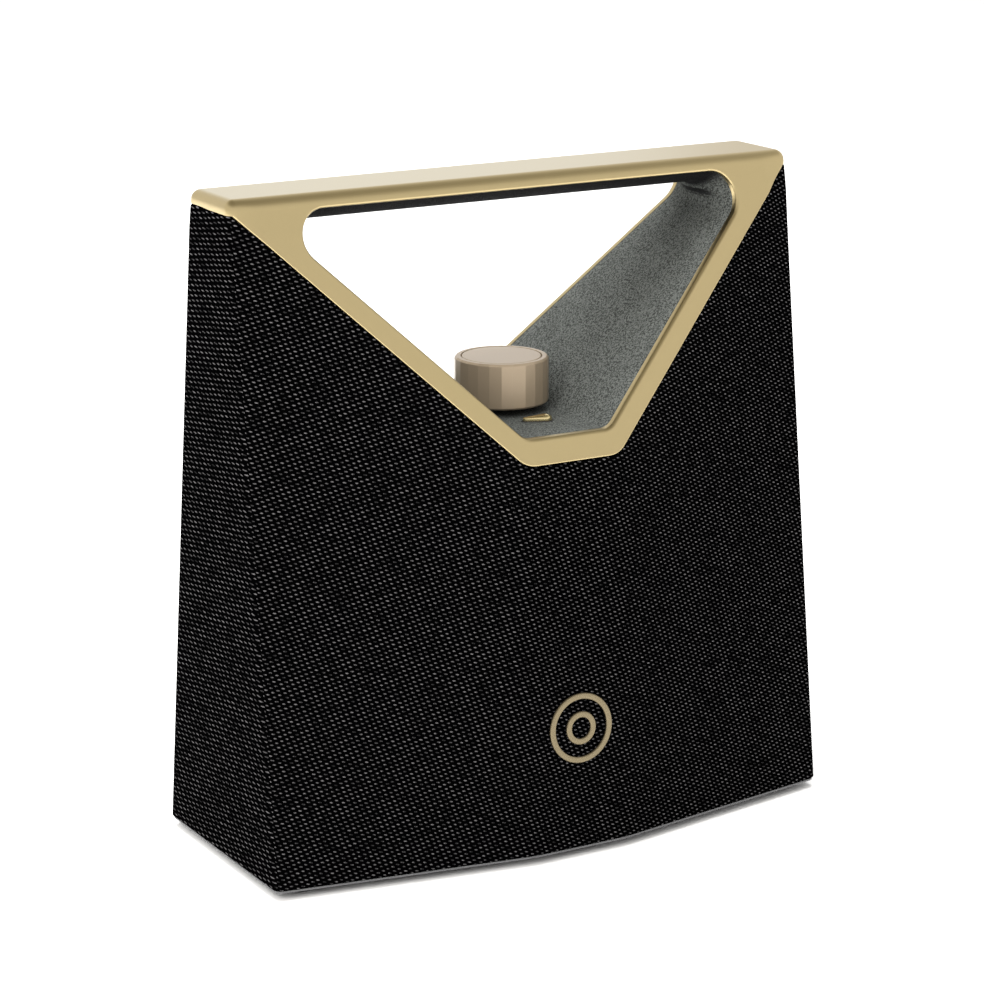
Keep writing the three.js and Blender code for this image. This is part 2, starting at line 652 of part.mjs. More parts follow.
// A recessed seat for a drive unit: solid boss, pocket for its flange, hole for its body.
// Depths are along the unit's own axis, from the outer form inwards.
const seatWall = 3;                // boss beside the flange
const seatLedge = 5;               // ring that the woofer's flange lands on
const seatClear = gap + 0.1;
const throughBoss = 40;

function seat(place, face, radius, hole, floor) {
  const at = (geometry) => solid(geometry.applyMatrix4(place));
  return {
    boss: at(rodY(radius + seatWall, 0, face + floor + cabinetWall)),
    cuts: at(rodY(radius + seatClear, -far / 2, face + floor + gap))
      .add(at(rodY(hole, 0, face + throughBoss))),
  };
}

const wooferPlace = new THREE.Matrix4().setPosition(0, -wooferFace, wooferHeight);
const wooferSeat = () => {
  const at = (geometry) => solid(geometry.applyMatrix4(wooferPlace));
  return {
    boss: at(rodY(wooferRadius + seatWall, -wooferFace / 3, flange + gap + cabinetWall, wooferSides)),
    cuts: at(rodY(wooferRadius + seatClear, -far / 2, flange + gap, wooferSides))
      .add(at(rodY(wooferRadius - seatLedge, 0, throughBoss, wooferSides))),
  };
};

function baffle(side, seats) {
  const region = side < 0 ? [-far, -1] : [1, far];
  const inside = form(cabinetFace, cabinetFloor, cabinetCavityTop)
    .intersect(solid(prismY(windowOutline(-gap), ...region)));
  let panel = inside.subtract(form(cabinetFace + cabinetWall, 0, height));
  for (const { boss } of seats.filter((one) => one.boss)) panel = panel.add(boss.intersect(inside));
  for (const { cuts } of seats) panel = panel.subtract(cuts);
  return panel;
}

function addCabinet() {
  const wingTop = coreFlat - gap;
  const inner = cabinetFace + cabinetWall;
  let body = form(cabinetFace, cabinetFloor, wingTop)
    .subtract(form(inner, cabinetFloor + cabinetWall, cabinetCavityTop)
      .subtract(solid(prismY(openingOutline(tunnel + cabinetWall), -far, far))))
    .subtract(solid(prismY(openingOutline(tunnel), -far, far)));
  body = body.subtract(solid(prismY(windowOutline(0), -far, far)))
    .subtract(solid(moved(rodZ(bushingRadius + gap, encoderTop, far * 2), 0, knobY, 0)))
    .subtract(keyHole());
  for (const [x, y] of handleScrews) {
    body = body.subtract(postZ(x, y, screwHead.shank + gap, wingTop - screwHead.length, far * 2));
  }
  for (const [x, y] of baseScrews) {
    body = body.add(postZ(x, y, 4, cabinetFloor + 1, cabinetFloor + 10))
      .subtract(postZ(x, y, screwHead.shank + gap, -5, cabinetFloor + 9));
  }
  add('cabinet_body', body, 'blackPlastic');

  add('front_baffle', baffle(-1, [wooferSeat(),
    ...Object.values(tweeters).map((place) => seat(place.matrix, tweeterFace, tweeterRadius, tweeterRadius - 4, 2))]),
  'blackPlastic');
  const portHole = { cuts: solid(box(-portWidth / 2 + 3, portWidth / 2 - 3, 0, 20,
    -portTall / 2 + 2, portTall / 2 - 2).applyMatrix4(port.matrix)) };
  add('rear_baffle', baffle(1, [portHole,
    ...Object.values(radiators).map((place) => seat(place.matrix, radiatorFace, radiatorRadius, radiatorRadius - 4, 1.5))]),
  'blackPlastic');
}

// ---- cloth and grilles ----------------------------------------------------------------

const portOutline = (outset) => roundedLoop(offsetCorners([
  [-portWidth / 2, -portTall / 2], [portWidth / 2, -portTall / 2],
  [portWidth / 2, portTall / 2], [-portWidth / 2, portTall / 2]], outset),
Array(4).fill(3 + outset), Array(4).fill(3));
const portCut = (outset) => solid(prismY(portOutline(outset), -30, 30).applyMatrix4(port.matrix));

// Seven hexagonal holes over a drive unit, for the sound to pass: one in the middle and
// six about it, with a web between neighbours.
function holesOver(x, z, unitRadius) {
  const pitch = unitRadius * 2 / 3;
  const hexagon = (cx, cz, r) => Array.from({ length: 6 }, (_, i) => [
    cx + r * Math.cos(Math.PI * (i / 3 + 1 / 6)), cz + r * Math.sin(Math.PI * (i / 3 + 1 / 6))]);
  const about = Array.from({ length: 6 }, (_, i) => [
    x + pitch * Math.cos(Math.PI * i / 3), z + pitch * Math.sin(Math.PI * i / 3)]);
  return [[x, z], ...about].map(([cx, cz]) => hexagon(cx, cz, pitch * 0.46));
}

function grille(side, sources) {
  const region = side < 0 ? [-far, -sideDepthTop] : [sideDepthTop, far];
  const half = halfWidthTop - sideRadius - 3;
  let panel = form(clothBack, basePlate + 4, openingTop - gap / 2)
    .subtract(form(grilleBack, 0, height))
    .intersect(solid(prismY([[-half, 0], [half, 0], [half, cabinetCavityTop],
      [-half, cabinetCavityTop]], ...region)))
    .subtract(solid(prismY(frameOutline(1.2), -far, far)));
  for (const hole of sources.flatMap(([x, z, radius]) => holesOver(x, z, radius))) {
    panel = panel.subtract(solid(prismY(hole, ...region)));
  }
  return panel;
}

function addCovers() {
  const sleeve = form(0, basePlate + gap, openingTop - gap / 2)
    .subtract(form(fabricThickness, -beyond, height + beyond))
    .subtract(openSlot)
    .subtract(portCut(gap));
  add('fabric_cover', sleeve, 'cloth');
  add('front_grille', grille(-1, [[0, wooferHeight, wooferRadius],
    [-tweeterX, tweeterHeight, tweeterRadius], [tweeterX, tweeterHeight, tweeterRadius]]), 'blackPlastic');
  add('rear_grille', grille(1, [[-radiatorX, radiatorHeight, radiatorRadius],
    [radiatorX, radiatorHeight, radiatorRadius]]).subtract(portCut(gap)), 'blackPlastic');
}

// ---- base -----------------------------------------------------------------------------

function addBase() {
  let plate = form(basePlateInset, basePlate - basePlateRim, basePlate)
    .add(form(basePlateInset + basePlateStep, 0, basePlate));
  baseScrews.forEach(([x, y], i) => {
    plate = plate.subtract(postZ(x, y, screwHead.shank + gap, -5, 5));
    const screw = turned([[0, -gap - 1.4], [screwHead.radius, -gap - 1.4], [screwHead.radius, -gap],
      [screwHead.shank, -gap], [screwHead.shank, screwHead.length - 4], [0, screwHead.length - 4]], screwSides);
    add(`base_screw_${i + 1}`, moved(screw, x, y, 0), 'steel');
  });
  add('base_plate', plate, 'greyPlastic');
  const x = halfWidthBase - footRadius - footInsetX;
  const y = sideDepthBase - footRadius - footInsetY;
  const foot = turned([[0, -footHeight], [footRadius - 0.6, -footHeight], [footRadius, -footHeight + 0.6],
    [footRadius, -gap], [0, -gap]], 20);
  for (const [name, sx, sy] of [['front_left', -1, -1], ['front_right', 1, -1], ['rear_left', -1, 1],
    ['rear_right', 1, 1]]) {
    add(`foot_${name}`, moved(foot.clone(), sx * x, sy * y, 0), 'rubber');
  }
}

// ---- drive units ----------------------------------------------------------------------
// Each is turned about its own axis, with its face at y = 0 and its body towards +y.

function addWoofer() {
  const unit = new THREE.Group();
  unit.applyMatrix4(wooferPlace);
  speaker.add(unit);
  const seatEdge = wooferRadius - seatLedge - gap;
  const basket = solid(turnedY([[wooferRoll + 0.4, 0], [wooferRadius, 0], [wooferRadius, flange],
    [seatEdge, flange], [26, 23], [26, 26], [15, 26], [15, 24.5], [24.5, 24.5], [24.5, 22.6],
    [wooferRoll + 0.4, 2], [wooferRoll + 0.4, 0]], wooferSides));
  const openings = [0, 1].map((k) => solid(box(-far / 2, far / 2, 8, 20, -8, 8)
    .applyMatrix4(new THREE.Matrix4().makeRotationY(Math.PI * (0.25 + 0.5 * k)))));
  add('woofer_basket', basket.subtract(openings[0]).subtract(openings[1]), 'steel', unit);
  // steel pole inside a ring magnet, with the voice coil's groove between them
  add('woofer_magnet', turnedY([[0, 26.4], [9.6, 26.4], [9.6, 37], [12.6, 37], [12.6, 26.4], [24, 26.4],
    [24, 40], [0, 40], [0, 26.4]]), 'steel', unit);
  add('woofer_coil', turnedY(ringProfile(10.4, 11.6, 15.6, 34)), 'copper', unit);
  add('woofer_cone', turnedY([[11.9, 13.6], [wooferRoll - 6.4, 1.2], [wooferRoll - 4.8, 1.2],
    [wooferRoll - 4.8, 2.2], [wooferRoll - 6, 2.2], [11.9, 15.1], [11.9, 13.6]], 24), 'paper', unit);
  add('woofer_dust_cap', turnedY([[0, 8.6], [5, 9.4], [9.4, 11.8], [11.5, 15.2], [10.2, 15.2],
    [4.6, 10.8], [0, 9.8]]), 'paper', unit);
  const roll = [];
  const [inner, outer] = [wooferRoll - 4.5, wooferRoll + 0.1];
  const arc = (radius, from, to) => Array.from({ length: 4 }, (_, i) => {
    const angle = Math.PI * (from + (to - from) * i / 3);
    return [(inner + outer) / 2 + radius * Math.cos(angle), 1.8 - radius * Math.sin(angle)];
  });
  roll.push(...arc((outer - inner) / 2, 1, 0), ...arc((outer - inner) / 2 - 0.8, 0, 1));
  add('woofer_surround', turnedY([...roll, roll[0]], 24), 'rubber', unit);
  add('woofer_spider', turnedY(ringProfile(12, 24.1, 19.2, 20)), 'cloth', unit);
}

function addTweeters() {
  for (const [side, place] of Object.entries(tweeters)) {
    speaker.add(place);
    const f = tweeterFace;
    add(`tweeter_${side}_flange`, turnedY([[12.4, f], [tweeterRadius, f], [tweeterRadius, f + 2],
      [17.4, f + 2], [17.4, f + 6], [12.4, f + 6], [12.4, f]]), 'blackPlastic', place);
    add(`tweeter_${side}_dome`, turnedY([[0, f - 0.6], [6, f + 0.4], [10, f + 2.6], [12.1, f + 3.4],
      [12.1, f + 4.2], [9.6, f + 3.4], [5.6, f + 1.4], [0, f + 0.4]]), 'cloth', place);
    add(`tweeter_${side}_magnet`, rodY(15, f + 6.3, f + 16, 20), 'steel', place);
  }
}

function addRadiators() {
  for (const [side, place] of Object.entries(radiators)) {
    speaker.add(place);
    const f = radiatorFace;
    add(`radiator_${side}_plate`, turnedY([[0, f - 0.6], [radiatorPlate - 1, f - 0.6], [radiatorPlate, f],
      [radiatorPlate, f + 2.2], [0, f + 2.2]]), 'aluminium', place);
    const [inner, outer] = [radiatorPlate + gap, radiatorRadius - 5];
    const [middle, half] = [(inner + outer) / 2, (outer - inner) / 2];
    const bow = (rise, radius) => [0, 1, 2, 3].map((i) => {
      const angle = Math.PI * (1 - i / 3);
      return [middle + radius * Math.cos(angle), f + 0.6 - rise * Math.sin(angle)];
    });
    const over = bow(rollHeight, half);
    const beneath = bow(rollHeight - 0.9, half - 0.9).reverse();
    add(`radiator_${side}_surround`, turnedY([...over, [radiatorRadius, f + 0.2], [radiatorRadius, f + 1.4],
      [outer - 0.9, f + 1.4], ...beneath, [inner, f + 1.4], over[0]]), 'rubber', place);
  }
}

// ---- electronics ----------------------------------------------------------------------

function addElectronics() {
  const floor = cabinetFloor + cabinetWall + gap;
  const cellRadius = 9.4;
  const cells = [];
  for (const [y, from] of [[cellRadius * 2, -0.5], [0, 0.5]]) {
    for (let k = 0; k <= 8; k++) {
      const angle = Math.PI * (from + k / 8);
      cells.push([y + cellRadius * Math.cos(angle), cellRadius * Math.sin(angle)]);
    }
  }
  const packHalf = 34;
  add('battery_pack', moved(prismX(cells, -packHalf, packHalf), 0, 12, floor + cellRadius), 'cell');
  const lid = floor + 2 * cellRadius + gap;
  const [y0, y1] = [12 - cellRadius - gap, 12 + 3 * cellRadius + gap];
  let bracket = solid(prismX([[y0 - 2, floor], [y0, floor], [y0, lid], [y1, lid], [y1, floor],
    [y1 + 2, floor], [y1 + 2, lid + 2], [y0 - 2, lid + 2]], -14, 14));
  for (const y of [y0 + 4, y1 - 4]) {
    bracket = bracket.add(solid(moved(rodZ(2.5, lid + 1, lid + 5, 12), 0, y, 0)));
  }
  add('battery_bracket', bracket, 'steel');
  const boardLow = lid + 5 + gap;
  add('main_board', box(-50, 50, y0 - 1, y1 + 1, boardLow, boardLow + boardThickness), 'board');
  const fins = [];
  for (let k = 0; k < 6; k++) {
    fins.push([-21 + 7 * k, 3], [-21 + 7 * k, 12], [-19.5 + 7 * k, 12], [-19.5 + 7 * k, 3]);
  }
  const sink = [[-21, 0], [16, 0], ...fins.slice(1).reverse(), [-21, 3]];
  add('heat_sink', moved(prismY(sink.slice(0, -1), 6, 30), 2.5, 0, boardLow + boardThickness + gap), 'aluminium');
}

function addPorts() {
  speaker.add(port);
  const out = 0.4;
  const usb = { x: -9, half: 4.5, tall: 1.7 };
  const slot = (outset, x = usb.x) => roundedLoop(offsetCorners([
    [x - usb.half, -usb.tall], [x + usb.half, -usb.tall], [x + usb.half, usb.tall],
    [x - usb.half, usb.tall]], outset), Array(4).fill(usb.tall + outset), Array(4).fill(3));
  const panel = solid(prismY(portOutline(0), out, cabinetFace - gap))
    .subtract(solid(prismY(slot(gap), -5, 30)))
    .subtract(solid(moved(rodY(3.2 + gap, -5, 30, 16), 9, 0, 0)));
  add('port_panel', panel, 'blackPlastic', port);
  const shell = solid(prismY(slot(0), out + 0.3, 10)).subtract(solid(prismY(slot(-0.4), -5, 9)))
    .add(solid(prismY([[usb.x - 3, -0.35], [usb.x + 3, -0.35], [usb.x + 3, 0.35], [usb.x - 3, 0.35]],
      out + 1.5, 9.5)));
  add('usb_socket', shell, 'steel', port);
  add('audio_socket', moved(turnedY([[1.8, out + 0.3], [3.2, out + 0.3], [3.2, 12], [0, 12], [0, 11],
    [1.8, 11], [1.8, out + 0.3]], 16), 9, 0, 0), 'blackPlastic', port);
}

function addBadge() {
  const badge = onFace(0, badgeHeight, -1);
  speaker.add(badge);
  const out = [-badgeThickness - gap, -gap];
  add('badge_ring', turnedY(ringProfile(badgeRadius - badgeBand, badgeRadius, ...out), 32), 'champagne', badge);
  add('badge_centre', turnedY(ringProfile(badgeInnerRadius - badgeBand, badgeInnerRadius, ...out)),
    'champagne', badge);
}

addHandle();
addKnob();
addKey();
addControlBoard();
addCabinet();
addCovers();
addBase();
addWoofer();
addTweeters();
addRadiators();
addElectronics();
addPorts();
addBadge();

export default group;
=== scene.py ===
# Tabletop wireless loudspeaker: woven cloth cabinet, metal frame and handle round a carrying
# opening, suede lining, faceted knob, teardrop key and round badge.
# Shapes are worked out in millimetres above the base plate and written in metres.
import bpy
import bmesh
import json
import math
import numpy as np
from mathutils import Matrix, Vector


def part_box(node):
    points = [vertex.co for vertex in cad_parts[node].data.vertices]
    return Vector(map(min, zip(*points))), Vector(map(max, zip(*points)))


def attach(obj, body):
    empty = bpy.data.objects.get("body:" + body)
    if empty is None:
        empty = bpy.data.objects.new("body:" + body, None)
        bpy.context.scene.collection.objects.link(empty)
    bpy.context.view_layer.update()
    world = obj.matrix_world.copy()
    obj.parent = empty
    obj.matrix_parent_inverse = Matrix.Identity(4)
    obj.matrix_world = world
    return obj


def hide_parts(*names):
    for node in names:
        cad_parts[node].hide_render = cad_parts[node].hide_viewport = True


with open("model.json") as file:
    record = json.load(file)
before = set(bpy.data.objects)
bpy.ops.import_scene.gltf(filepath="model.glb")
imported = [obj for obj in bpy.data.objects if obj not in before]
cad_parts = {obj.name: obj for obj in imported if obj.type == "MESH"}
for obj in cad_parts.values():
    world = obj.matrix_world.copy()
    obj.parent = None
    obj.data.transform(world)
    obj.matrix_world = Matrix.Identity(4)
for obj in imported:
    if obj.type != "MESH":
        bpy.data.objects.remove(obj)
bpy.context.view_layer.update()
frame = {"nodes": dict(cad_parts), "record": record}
nodes = frame["nodes"]
print("frame loaded:", len(nodes), "nodes")

mm = 0.001
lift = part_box("base_plate")[0].z / mm          # the feet raise the base plate this far


# Camera, floor and light: one place to change the studio
studio = {
    "cameraAt": (-0.61212, -1.04892, 0.45984),
    "cameraLooks": (0.4851, 0.8355, -0.2582),
    "lens": 113.0,
    "floorSize": 14.0,
    "floorColour": (0.93, 0.93, 0.93, 1),
    "skyLow": (1.0, 0.985, 0.96, 1),
    "skyHigh": (0.36, 0.34, 0.29, 1),
    "skyTurns": (0.6, 0.92),       # height of the look direction at which the sky darkens
    "skyStrength": 0.95,
    # name: place, point it faces, size in metres, watts, colour, seen in reflections
    "lights": {
        "keyLight": ((-1.35, -0.75, 1.25), (0, 0, 0.15), 1.5, 30, (1.0, 0.985, 0.96), False),
        "backPanel": ((0.9, 2.56, 0.78), (0, 0, 0.25), 1.6, 3.4, (0.6, 0.75, 1.0), True),
        "floorLight": ((0.0, 0.6, 3.0), (0, 0, 0), 3.0, 150, (1.0, 1.0, 1.0), False),
    },
}


def addStudio(kit):
    cameraData = bpy.data.cameras.new("camera")
    cameraData.lens = kit["lens"]
    cameraData.sensor_width = 36.0
    camera = bpy.data.objects.new("camera", cameraData)
    camera.location = kit["cameraAt"]
    camera.rotation_euler = Vector(kit["cameraLooks"]).to_track_quat("-Z", "Y").to_euler()
    bpy.context.scene.collection.objects.link(camera)
    bpy.context.scene.camera = camera

    for name, (place, target, size, watts, colour, mirrored) in kit["lights"].items():
        light = bpy.data.lights.new(name, "AREA")
        light.shape = "DISK"
        light.size = size
        light.energy = watts
        light.color = colour
        lamp = bpy.data.objects.new(name, light)
        lamp.location = place
        lamp.visible_glossy = mirrored
        lamp.visible_camera = False
        lamp.rotation_euler = (Vector(target) - Vector(place)).to_track_quat("-Z", "Y").to_euler()
        bpy.context.scene.collection.objects.link(lamp)

    world = bpy.data.worlds.new("studioAir")
    world.use_nodes = True
    sky = world.node_tree
    sky.nodes["Background"].inputs["Strength"].default_value = kit["skyStrength"]
    rise = sky.nodes.new("ShaderNodeSeparateXYZ")
    sky.links.new(sky.nodes.new("ShaderNodeTexCoord").outputs["Generated"], rise.inputs[0])
    fade = sky.nodes.new("ShaderNodeMapRange")
    sky.links.new(rise.outputs["Z"], fade.inputs["Value"])
    fade.inputs["From Min"].default_value, fade.inputs["From Max"].default_value = kit["skyTurns"]
    blend = sky.nodes.new("ShaderNodeMix")
    blend.data_type = "RGBA"
    sky.links.new(fade.outputs["Result"], blend.inputs[0])
    blend.inputs[6].default_value, blend.inputs[7].default_value = kit["skyLow"], kit["skyHigh"]
    sky.links.new(blend.outputs[2], sky.nodes["Background"].inputs["Color"])
    bpy.context.scene.world = world
    bpy.context.scene.view_settings.view_transform = "Standard"

    half = kit["floorSize"] / 2
    floorMesh = bpy.data.meshes.new("floor")
    floorMesh.from_pydata([(-half, -half, 0), (half, -half, 0), (half, half, 0), (-half, half, 0)],
                          [], [(0, 1, 2, 3)])
    floor = bpy.data.objects.new("floor", floorMesh)
    bpy.context.scene.collection.objects.link(floor)
    paper = bpy.data.materials.new("floorPaper")
    paper.use_nodes = True
    paper.node_tree.nodes["Principled BSDF"].inputs["Base Color"].default_value = kit["floorColour"]
    paper.node_tree.nodes["Principled BSDF"].inputs["Roughness"].default_value = 0.9
    floorMesh.materials.append(paper)


addStudio(studio)
print("studio placed")


# Shader groups

# Makes a shader group; inputs are {name: (kind, value)}, outputs {name: kind}.
def newGroup(name, inputs, outputs):
    group = bpy.data.node_groups.new(name, "ShaderNodeTree")
    for label, (kind, value) in inputs.items():
        socket = group.interface.new_socket(name=label, in_out="INPUT", socket_type="NodeSocket" + kind)
        if value is not None:
            socket.default_value = value
    for label, kind in outputs.items():
        group.interface.new_socket(name=label, in_out="OUTPUT", socket_type="NodeSocket" + kind)
    return group


# Short ways to add and join nodes in one tree.
class Wiring:

    def __init__(self, tree):
        self.tree = tree

    def add(self, kind, values=None, **settings):
        node = self.tree.nodes.new(kind)
        for key, value in settings.items():
            setattr(node, key, value)
        for key, value in (values or {}).items():
            self.feed(value, node.inputs[key])
        return node

    def feed(self, value, socket):
        if isinstance(value, bpy.types.NodeSocket):
            self.tree.links.new(value, socket)
        else:
            socket.default_value = value

    def math(self, operation, a, b=0.0, c=0.0):
        return self.add("ShaderNodeMath", {0: a, 1: b, 2: c}, operation=operation).outputs[0]

    def dot(self, vector, direction):
        node = self.add("ShaderNodeVectorMath", {0: vector, 1: direction}, operation="DOT_PRODUCT")
        return node.outputs["Value"]

    def ramp(self, value, low, high, outLow=0.0, outHigh=1.0, smooth=True):
        node = self.add("ShaderNodeMapRange", {"Value": value, "From Min": low, "From Max": high,
                                               "To Min": outLow, "To Max": outHigh})
        node.interpolation_type = "SMOOTHSTEP" if smooth else "LINEAR"
        return node.outputs["Result"]

    def mix(self, share, a, b):
        node = self.add("ShaderNodeMix", data_type="RGBA")
        for value, socket in ((share, node.inputs[0]), (a, node.inputs[6]), (b, node.inputs[7])):
            self.feed(value, socket)
        return node.outputs[2]


# Two sizes of noise added: a fine grain, and a slow cloudiness a twelfth as fine.
def makeFineGrain():
    group = newGroup("fineGrain",
                     {"Vector": ("Vector", None), "Scale": ("Float", 900.0), "Cloud": ("Float", 0.3)},
                     {"Value": "Float", "Cloudiness": "Float"})
    wire = Wiring(group)
    given = wire.add("NodeGroupInput").outputs
    fine = wire.add("ShaderNodeTexNoise", {"Vector": given["Vector"], "Scale": given["Scale"],
                                           "Detail": 3.0, "Roughness": 0.6}).outputs["Fac"]
    slow = wire.add("ShaderNodeTexNoise", {"Vector": given["Vector"],
                                           "Scale": wire.math("DIVIDE", given["Scale"], 12.0),
                                           "Detail": 2.0}).outputs["Fac"]
    both = wire.add("ShaderNodeMix", {0: given["Cloud"], 2: fine, 3: slow}).outputs[0]
    out = wire.add("NodeGroupOutput")
    wire.feed(both, out.inputs["Value"])
    wire.feed(slow, out.inputs["Cloudiness"])
    return group


# Share of painted highlight on an edge: how far the rounded normal leaves the true one.
def makeEdgeLight():
    group = newGroup("paintedEdgeHighlight", {"Radius": ("Float", 0.0008), "Strength": ("Float", 1.0)},
                     {"Mask": "Float"})
    wire = Wiring(group)
    given = wire.add("NodeGroupInput").outputs
    rounded = wire.add("ShaderNodeBevel", {"Radius": given["Radius"]}, samples=4).outputs[0]
    true = wire.add("ShaderNodeNewGeometry").outputs["True Normal"]
    turned = wire.math("SUBTRACT", 1.0, wire.dot(rounded, true))
    mask = wire.math("MULTIPLY", wire.ramp(turned, 0.02, 0.3), given["Strength"])
    out = wire.add("NodeGroupOutput")
    wire.feed(mask, out.inputs["Mask"])
    return group


fineGrain = makeFineGrain()
paintedEdgeHighlight = makeEdgeLight()


def startMaterial(name):
    material = bpy.data.materials.new(name)
    material.use_nodes = True
    wire = Wiring(material.node_tree)
    shader = material.node_tree.nodes["Principled BSDF"]
    return material, wire, shader


def place(wire, group, values):
    node = wire.add("ShaderNodeGroup")
    node.node_tree = group
    for key, value in values.items():
        wire.feed(value, node.inputs[key])
    return node.outputs


# A solid material with grain in its colour, roughness and bump, and a painted highlight on rounded edges if
# asked.
def plainFinish(name, colour, roughness, metallic=0.0, spread=0.12, scale=900.0, bump=0.05,
                stretch=(1, 1, 1), edge=0.0, sheen=0.0, coat=0.0):
    material, wire, shader = startMaterial(name)
    where = wire.add("ShaderNodeTexCoord").outputs["Object"]
    where = wire.add("ShaderNodeMapping", {"Vector": where, "Scale": stretch}).outputs[0]
    grain = place(wire, fineGrain, {"Vector": where, "Scale": scale, "Cloud": 0.35})
    dark = tuple(c * (1 - spread) for c in colour) + (1,)
    light = tuple(min(c * (1 + spread), 1) for c in colour) + (1,)
    tone = wire.mix(grain["Value"], dark, light)
    if edge:
        # edge sets a painted highlight: rounded edges lightened as if catching light
        paintedHighlight = place(wire, paintedEdgeHighlight, {"Radius": 0.0006, "Strength": edge})
        tone = wire.mix(paintedHighlight["Mask"], tone, tuple(min(c * 1.6 + 0.02, 1) for c in colour) + (1,))
    wire.feed(tone, shader.inputs["Base Color"])
    satin = wire.ramp(grain["Value"], 0.2, 0.8, roughness * (1 - spread), roughness * (1 + spread), False)
    wire.feed(satin, shader.inputs["Roughness"])
    shader.inputs["Metallic"].default_value = metallic
    shader.inputs["Sheen Weight"].default_value = sheen
    shader.inputs["Coat Weight"].default_value = coat
    relief = wire.add("ShaderNodeBump", {"Strength": bump, "Distance": 0.0002, "Height": grain["Value"]})
    wire.feed(relief.outputs[0], shader.inputs["Normal"])
    return material


suede = {
    "colour": (0.078, 0.083, 0.078),
    "grip": (0.009, 0.009, 0.0095),     # painted shade for the handle's underside, which faces down
    "paintedShadeTurns": (-0.75, -0.25),        # vertical share of the normal, from all painted shade to all nap
    "scale": 1350.0,
    "cloud": 0.06,
    "strokes": 0.05,
    "cut": (0.4, 0.64),
    "spread": 0.62,
}


# Short nap: a grain two sizes deep, faint strokes where the nap lies another way, and painted shade on
# faces turned down.
def makeSuede(name, kit):
    material, wire, shader = startMaterial(name)
    where = wire.add("ShaderNodeTexCoord").outputs["Object"]
    grain = place(wire, fineGrain, {"Vector": where, "Scale": kit["scale"], "Cloud": kit["cloud"]})
    strokes = wire.add("ShaderNodeTexNoise", {"Vector": where, "Scale": 60.0, "Detail": 2.0}).outputs["Fac"]
    nap = wire.math("ADD", grain["Value"], wire.math("MULTIPLY", strokes, kit["strokes"]))
    nap = wire.ramp(nap, *kit["cut"])
    dark = tuple(c * (1 - kit["spread"]) for c in kit["colour"]) + (1,)
    light = tuple(c * (1 + kit["spread"]) for c in kit["colour"]) + (1,)
    # painted shade: the piece is never turned, so its world normal finds the grip's underside, turned down,
    # and darkens it to the grip colour
    facing = wire.add("ShaderNodeNewGeometry").outputs["True Normal"]
    under = wire.ramp(wire.dot(facing, (0, 0, 1)), *kit["paintedShadeTurns"], 1.0, 0.0)
    tone = wire.mix(under, wire.mix(nap, dark, light), kit["grip"] + (1,))
    wire.feed(tone, shader.inputs["Base Color"])
    wire.feed(wire.ramp(nap, 0, 1, 0.95, 0.8, False), shader.inputs["Roughness"])
    shader.inputs["Sheen Weight"].default_value = 0.01
    shader.inputs["Sheen Roughness"].default_value = 0.4
    shader.inputs["Specular IOR Level"].default_value = 0.06
    relief = wire.add("ShaderNodeBump", {"Strength": 0.5, "Distance": 0.0003, "Height": nap})
    wire.feed(relief.outputs[0], shader.inputs["Normal"])
    return material


# The weave repeats along two directions, in cycles for each millimetre of cloth (across, up);
# their sum is the third, so light threads show as short slanting dashes.
weave = {
    "first": (0.308, 0.664, 0.0),
    "second": (0.151, -0.508, 0.0),
    "thirdWeight": 0.15,
    "base": (0.0006, 0.0006, 0.0007),
    "threadDark": (0.014, 0.0138, 0.0142),
    "threadLight": (0.13, 0.125, 0.128),
    "cut": (0.85, 1.8),
    "uvPerMm": 0.01,
}


# cos(first.p) + cos(second.p) + weight cos((first + second).p), cut to leave dashes.
def makeCloth(name, kit):
    material, wire, shader = startMaterial(name)
    uv = wire.add("ShaderNodeUVMap", uv_map="weave").outputs[0]
    cloth = wire.add("ShaderNodeVectorMath", {0: uv, "Scale": 1 / kit["uvPerMm"]},
                     operation="SCALE").outputs[0]
    drift = wire.add("ShaderNodeTexNoise", {"Vector": cloth, "Scale": 0.12, "Detail": 1.0}).outputs["Color"]
    cloth = wire.add("ShaderNodeVectorMath", {0: drift, 1: (0.5, 0.35, 0.0), 2: cloth},
                     operation="MULTIPLY_ADD").outputs[0]
    third = tuple(a + b for a, b in zip(kit["first"], kit["second"]))
    waves = [wire.math("COSINE", wire.dot(cloth, tuple(2 * math.pi * c for c in way)))
             for way in (kit["first"], kit["second"], third)]
    total = wire.math("MULTIPLY_ADD", waves[2], kit["thirdWeight"], wire.math("ADD", waves[0], waves[1]))
    dash = wire.ramp(total, *kit["cut"])
    each = wire.add("ShaderNodeTexNoise", {"Vector": cloth, "Scale": 0.75, "Detail": 1.0}).outputs["Fac"]
    tone = wire.mix(wire.ramp(each, 0.34, 0.66), kit["threadDark"] + (1,), kit["threadLight"] + (1,))
    wire.feed(wire.mix(dash, kit["base"] + (1,), tone), shader.inputs["Base Color"])
    strands = wire.add("ShaderNodeTexNoise", {"Vector": cloth, "Scale": 3.0, "Detail": 1.0}).outputs["Fac"]
    height = wire.math("ADD", total, wire.math("MULTIPLY", strands, 1.2))
    relief = wire.add("ShaderNodeBump", {"Strength": 0.5, "Distance": 0.0003, "Height": height})
    wire.feed(relief.outputs[0], shader.inputs["Normal"])
    wire.feed(wire.ramp(dash, 0, 1, 0.95, 0.7, False), shader.inputs["Roughness"])
    shader.inputs["Specular IOR Level"].default_value = 0.0
    return material


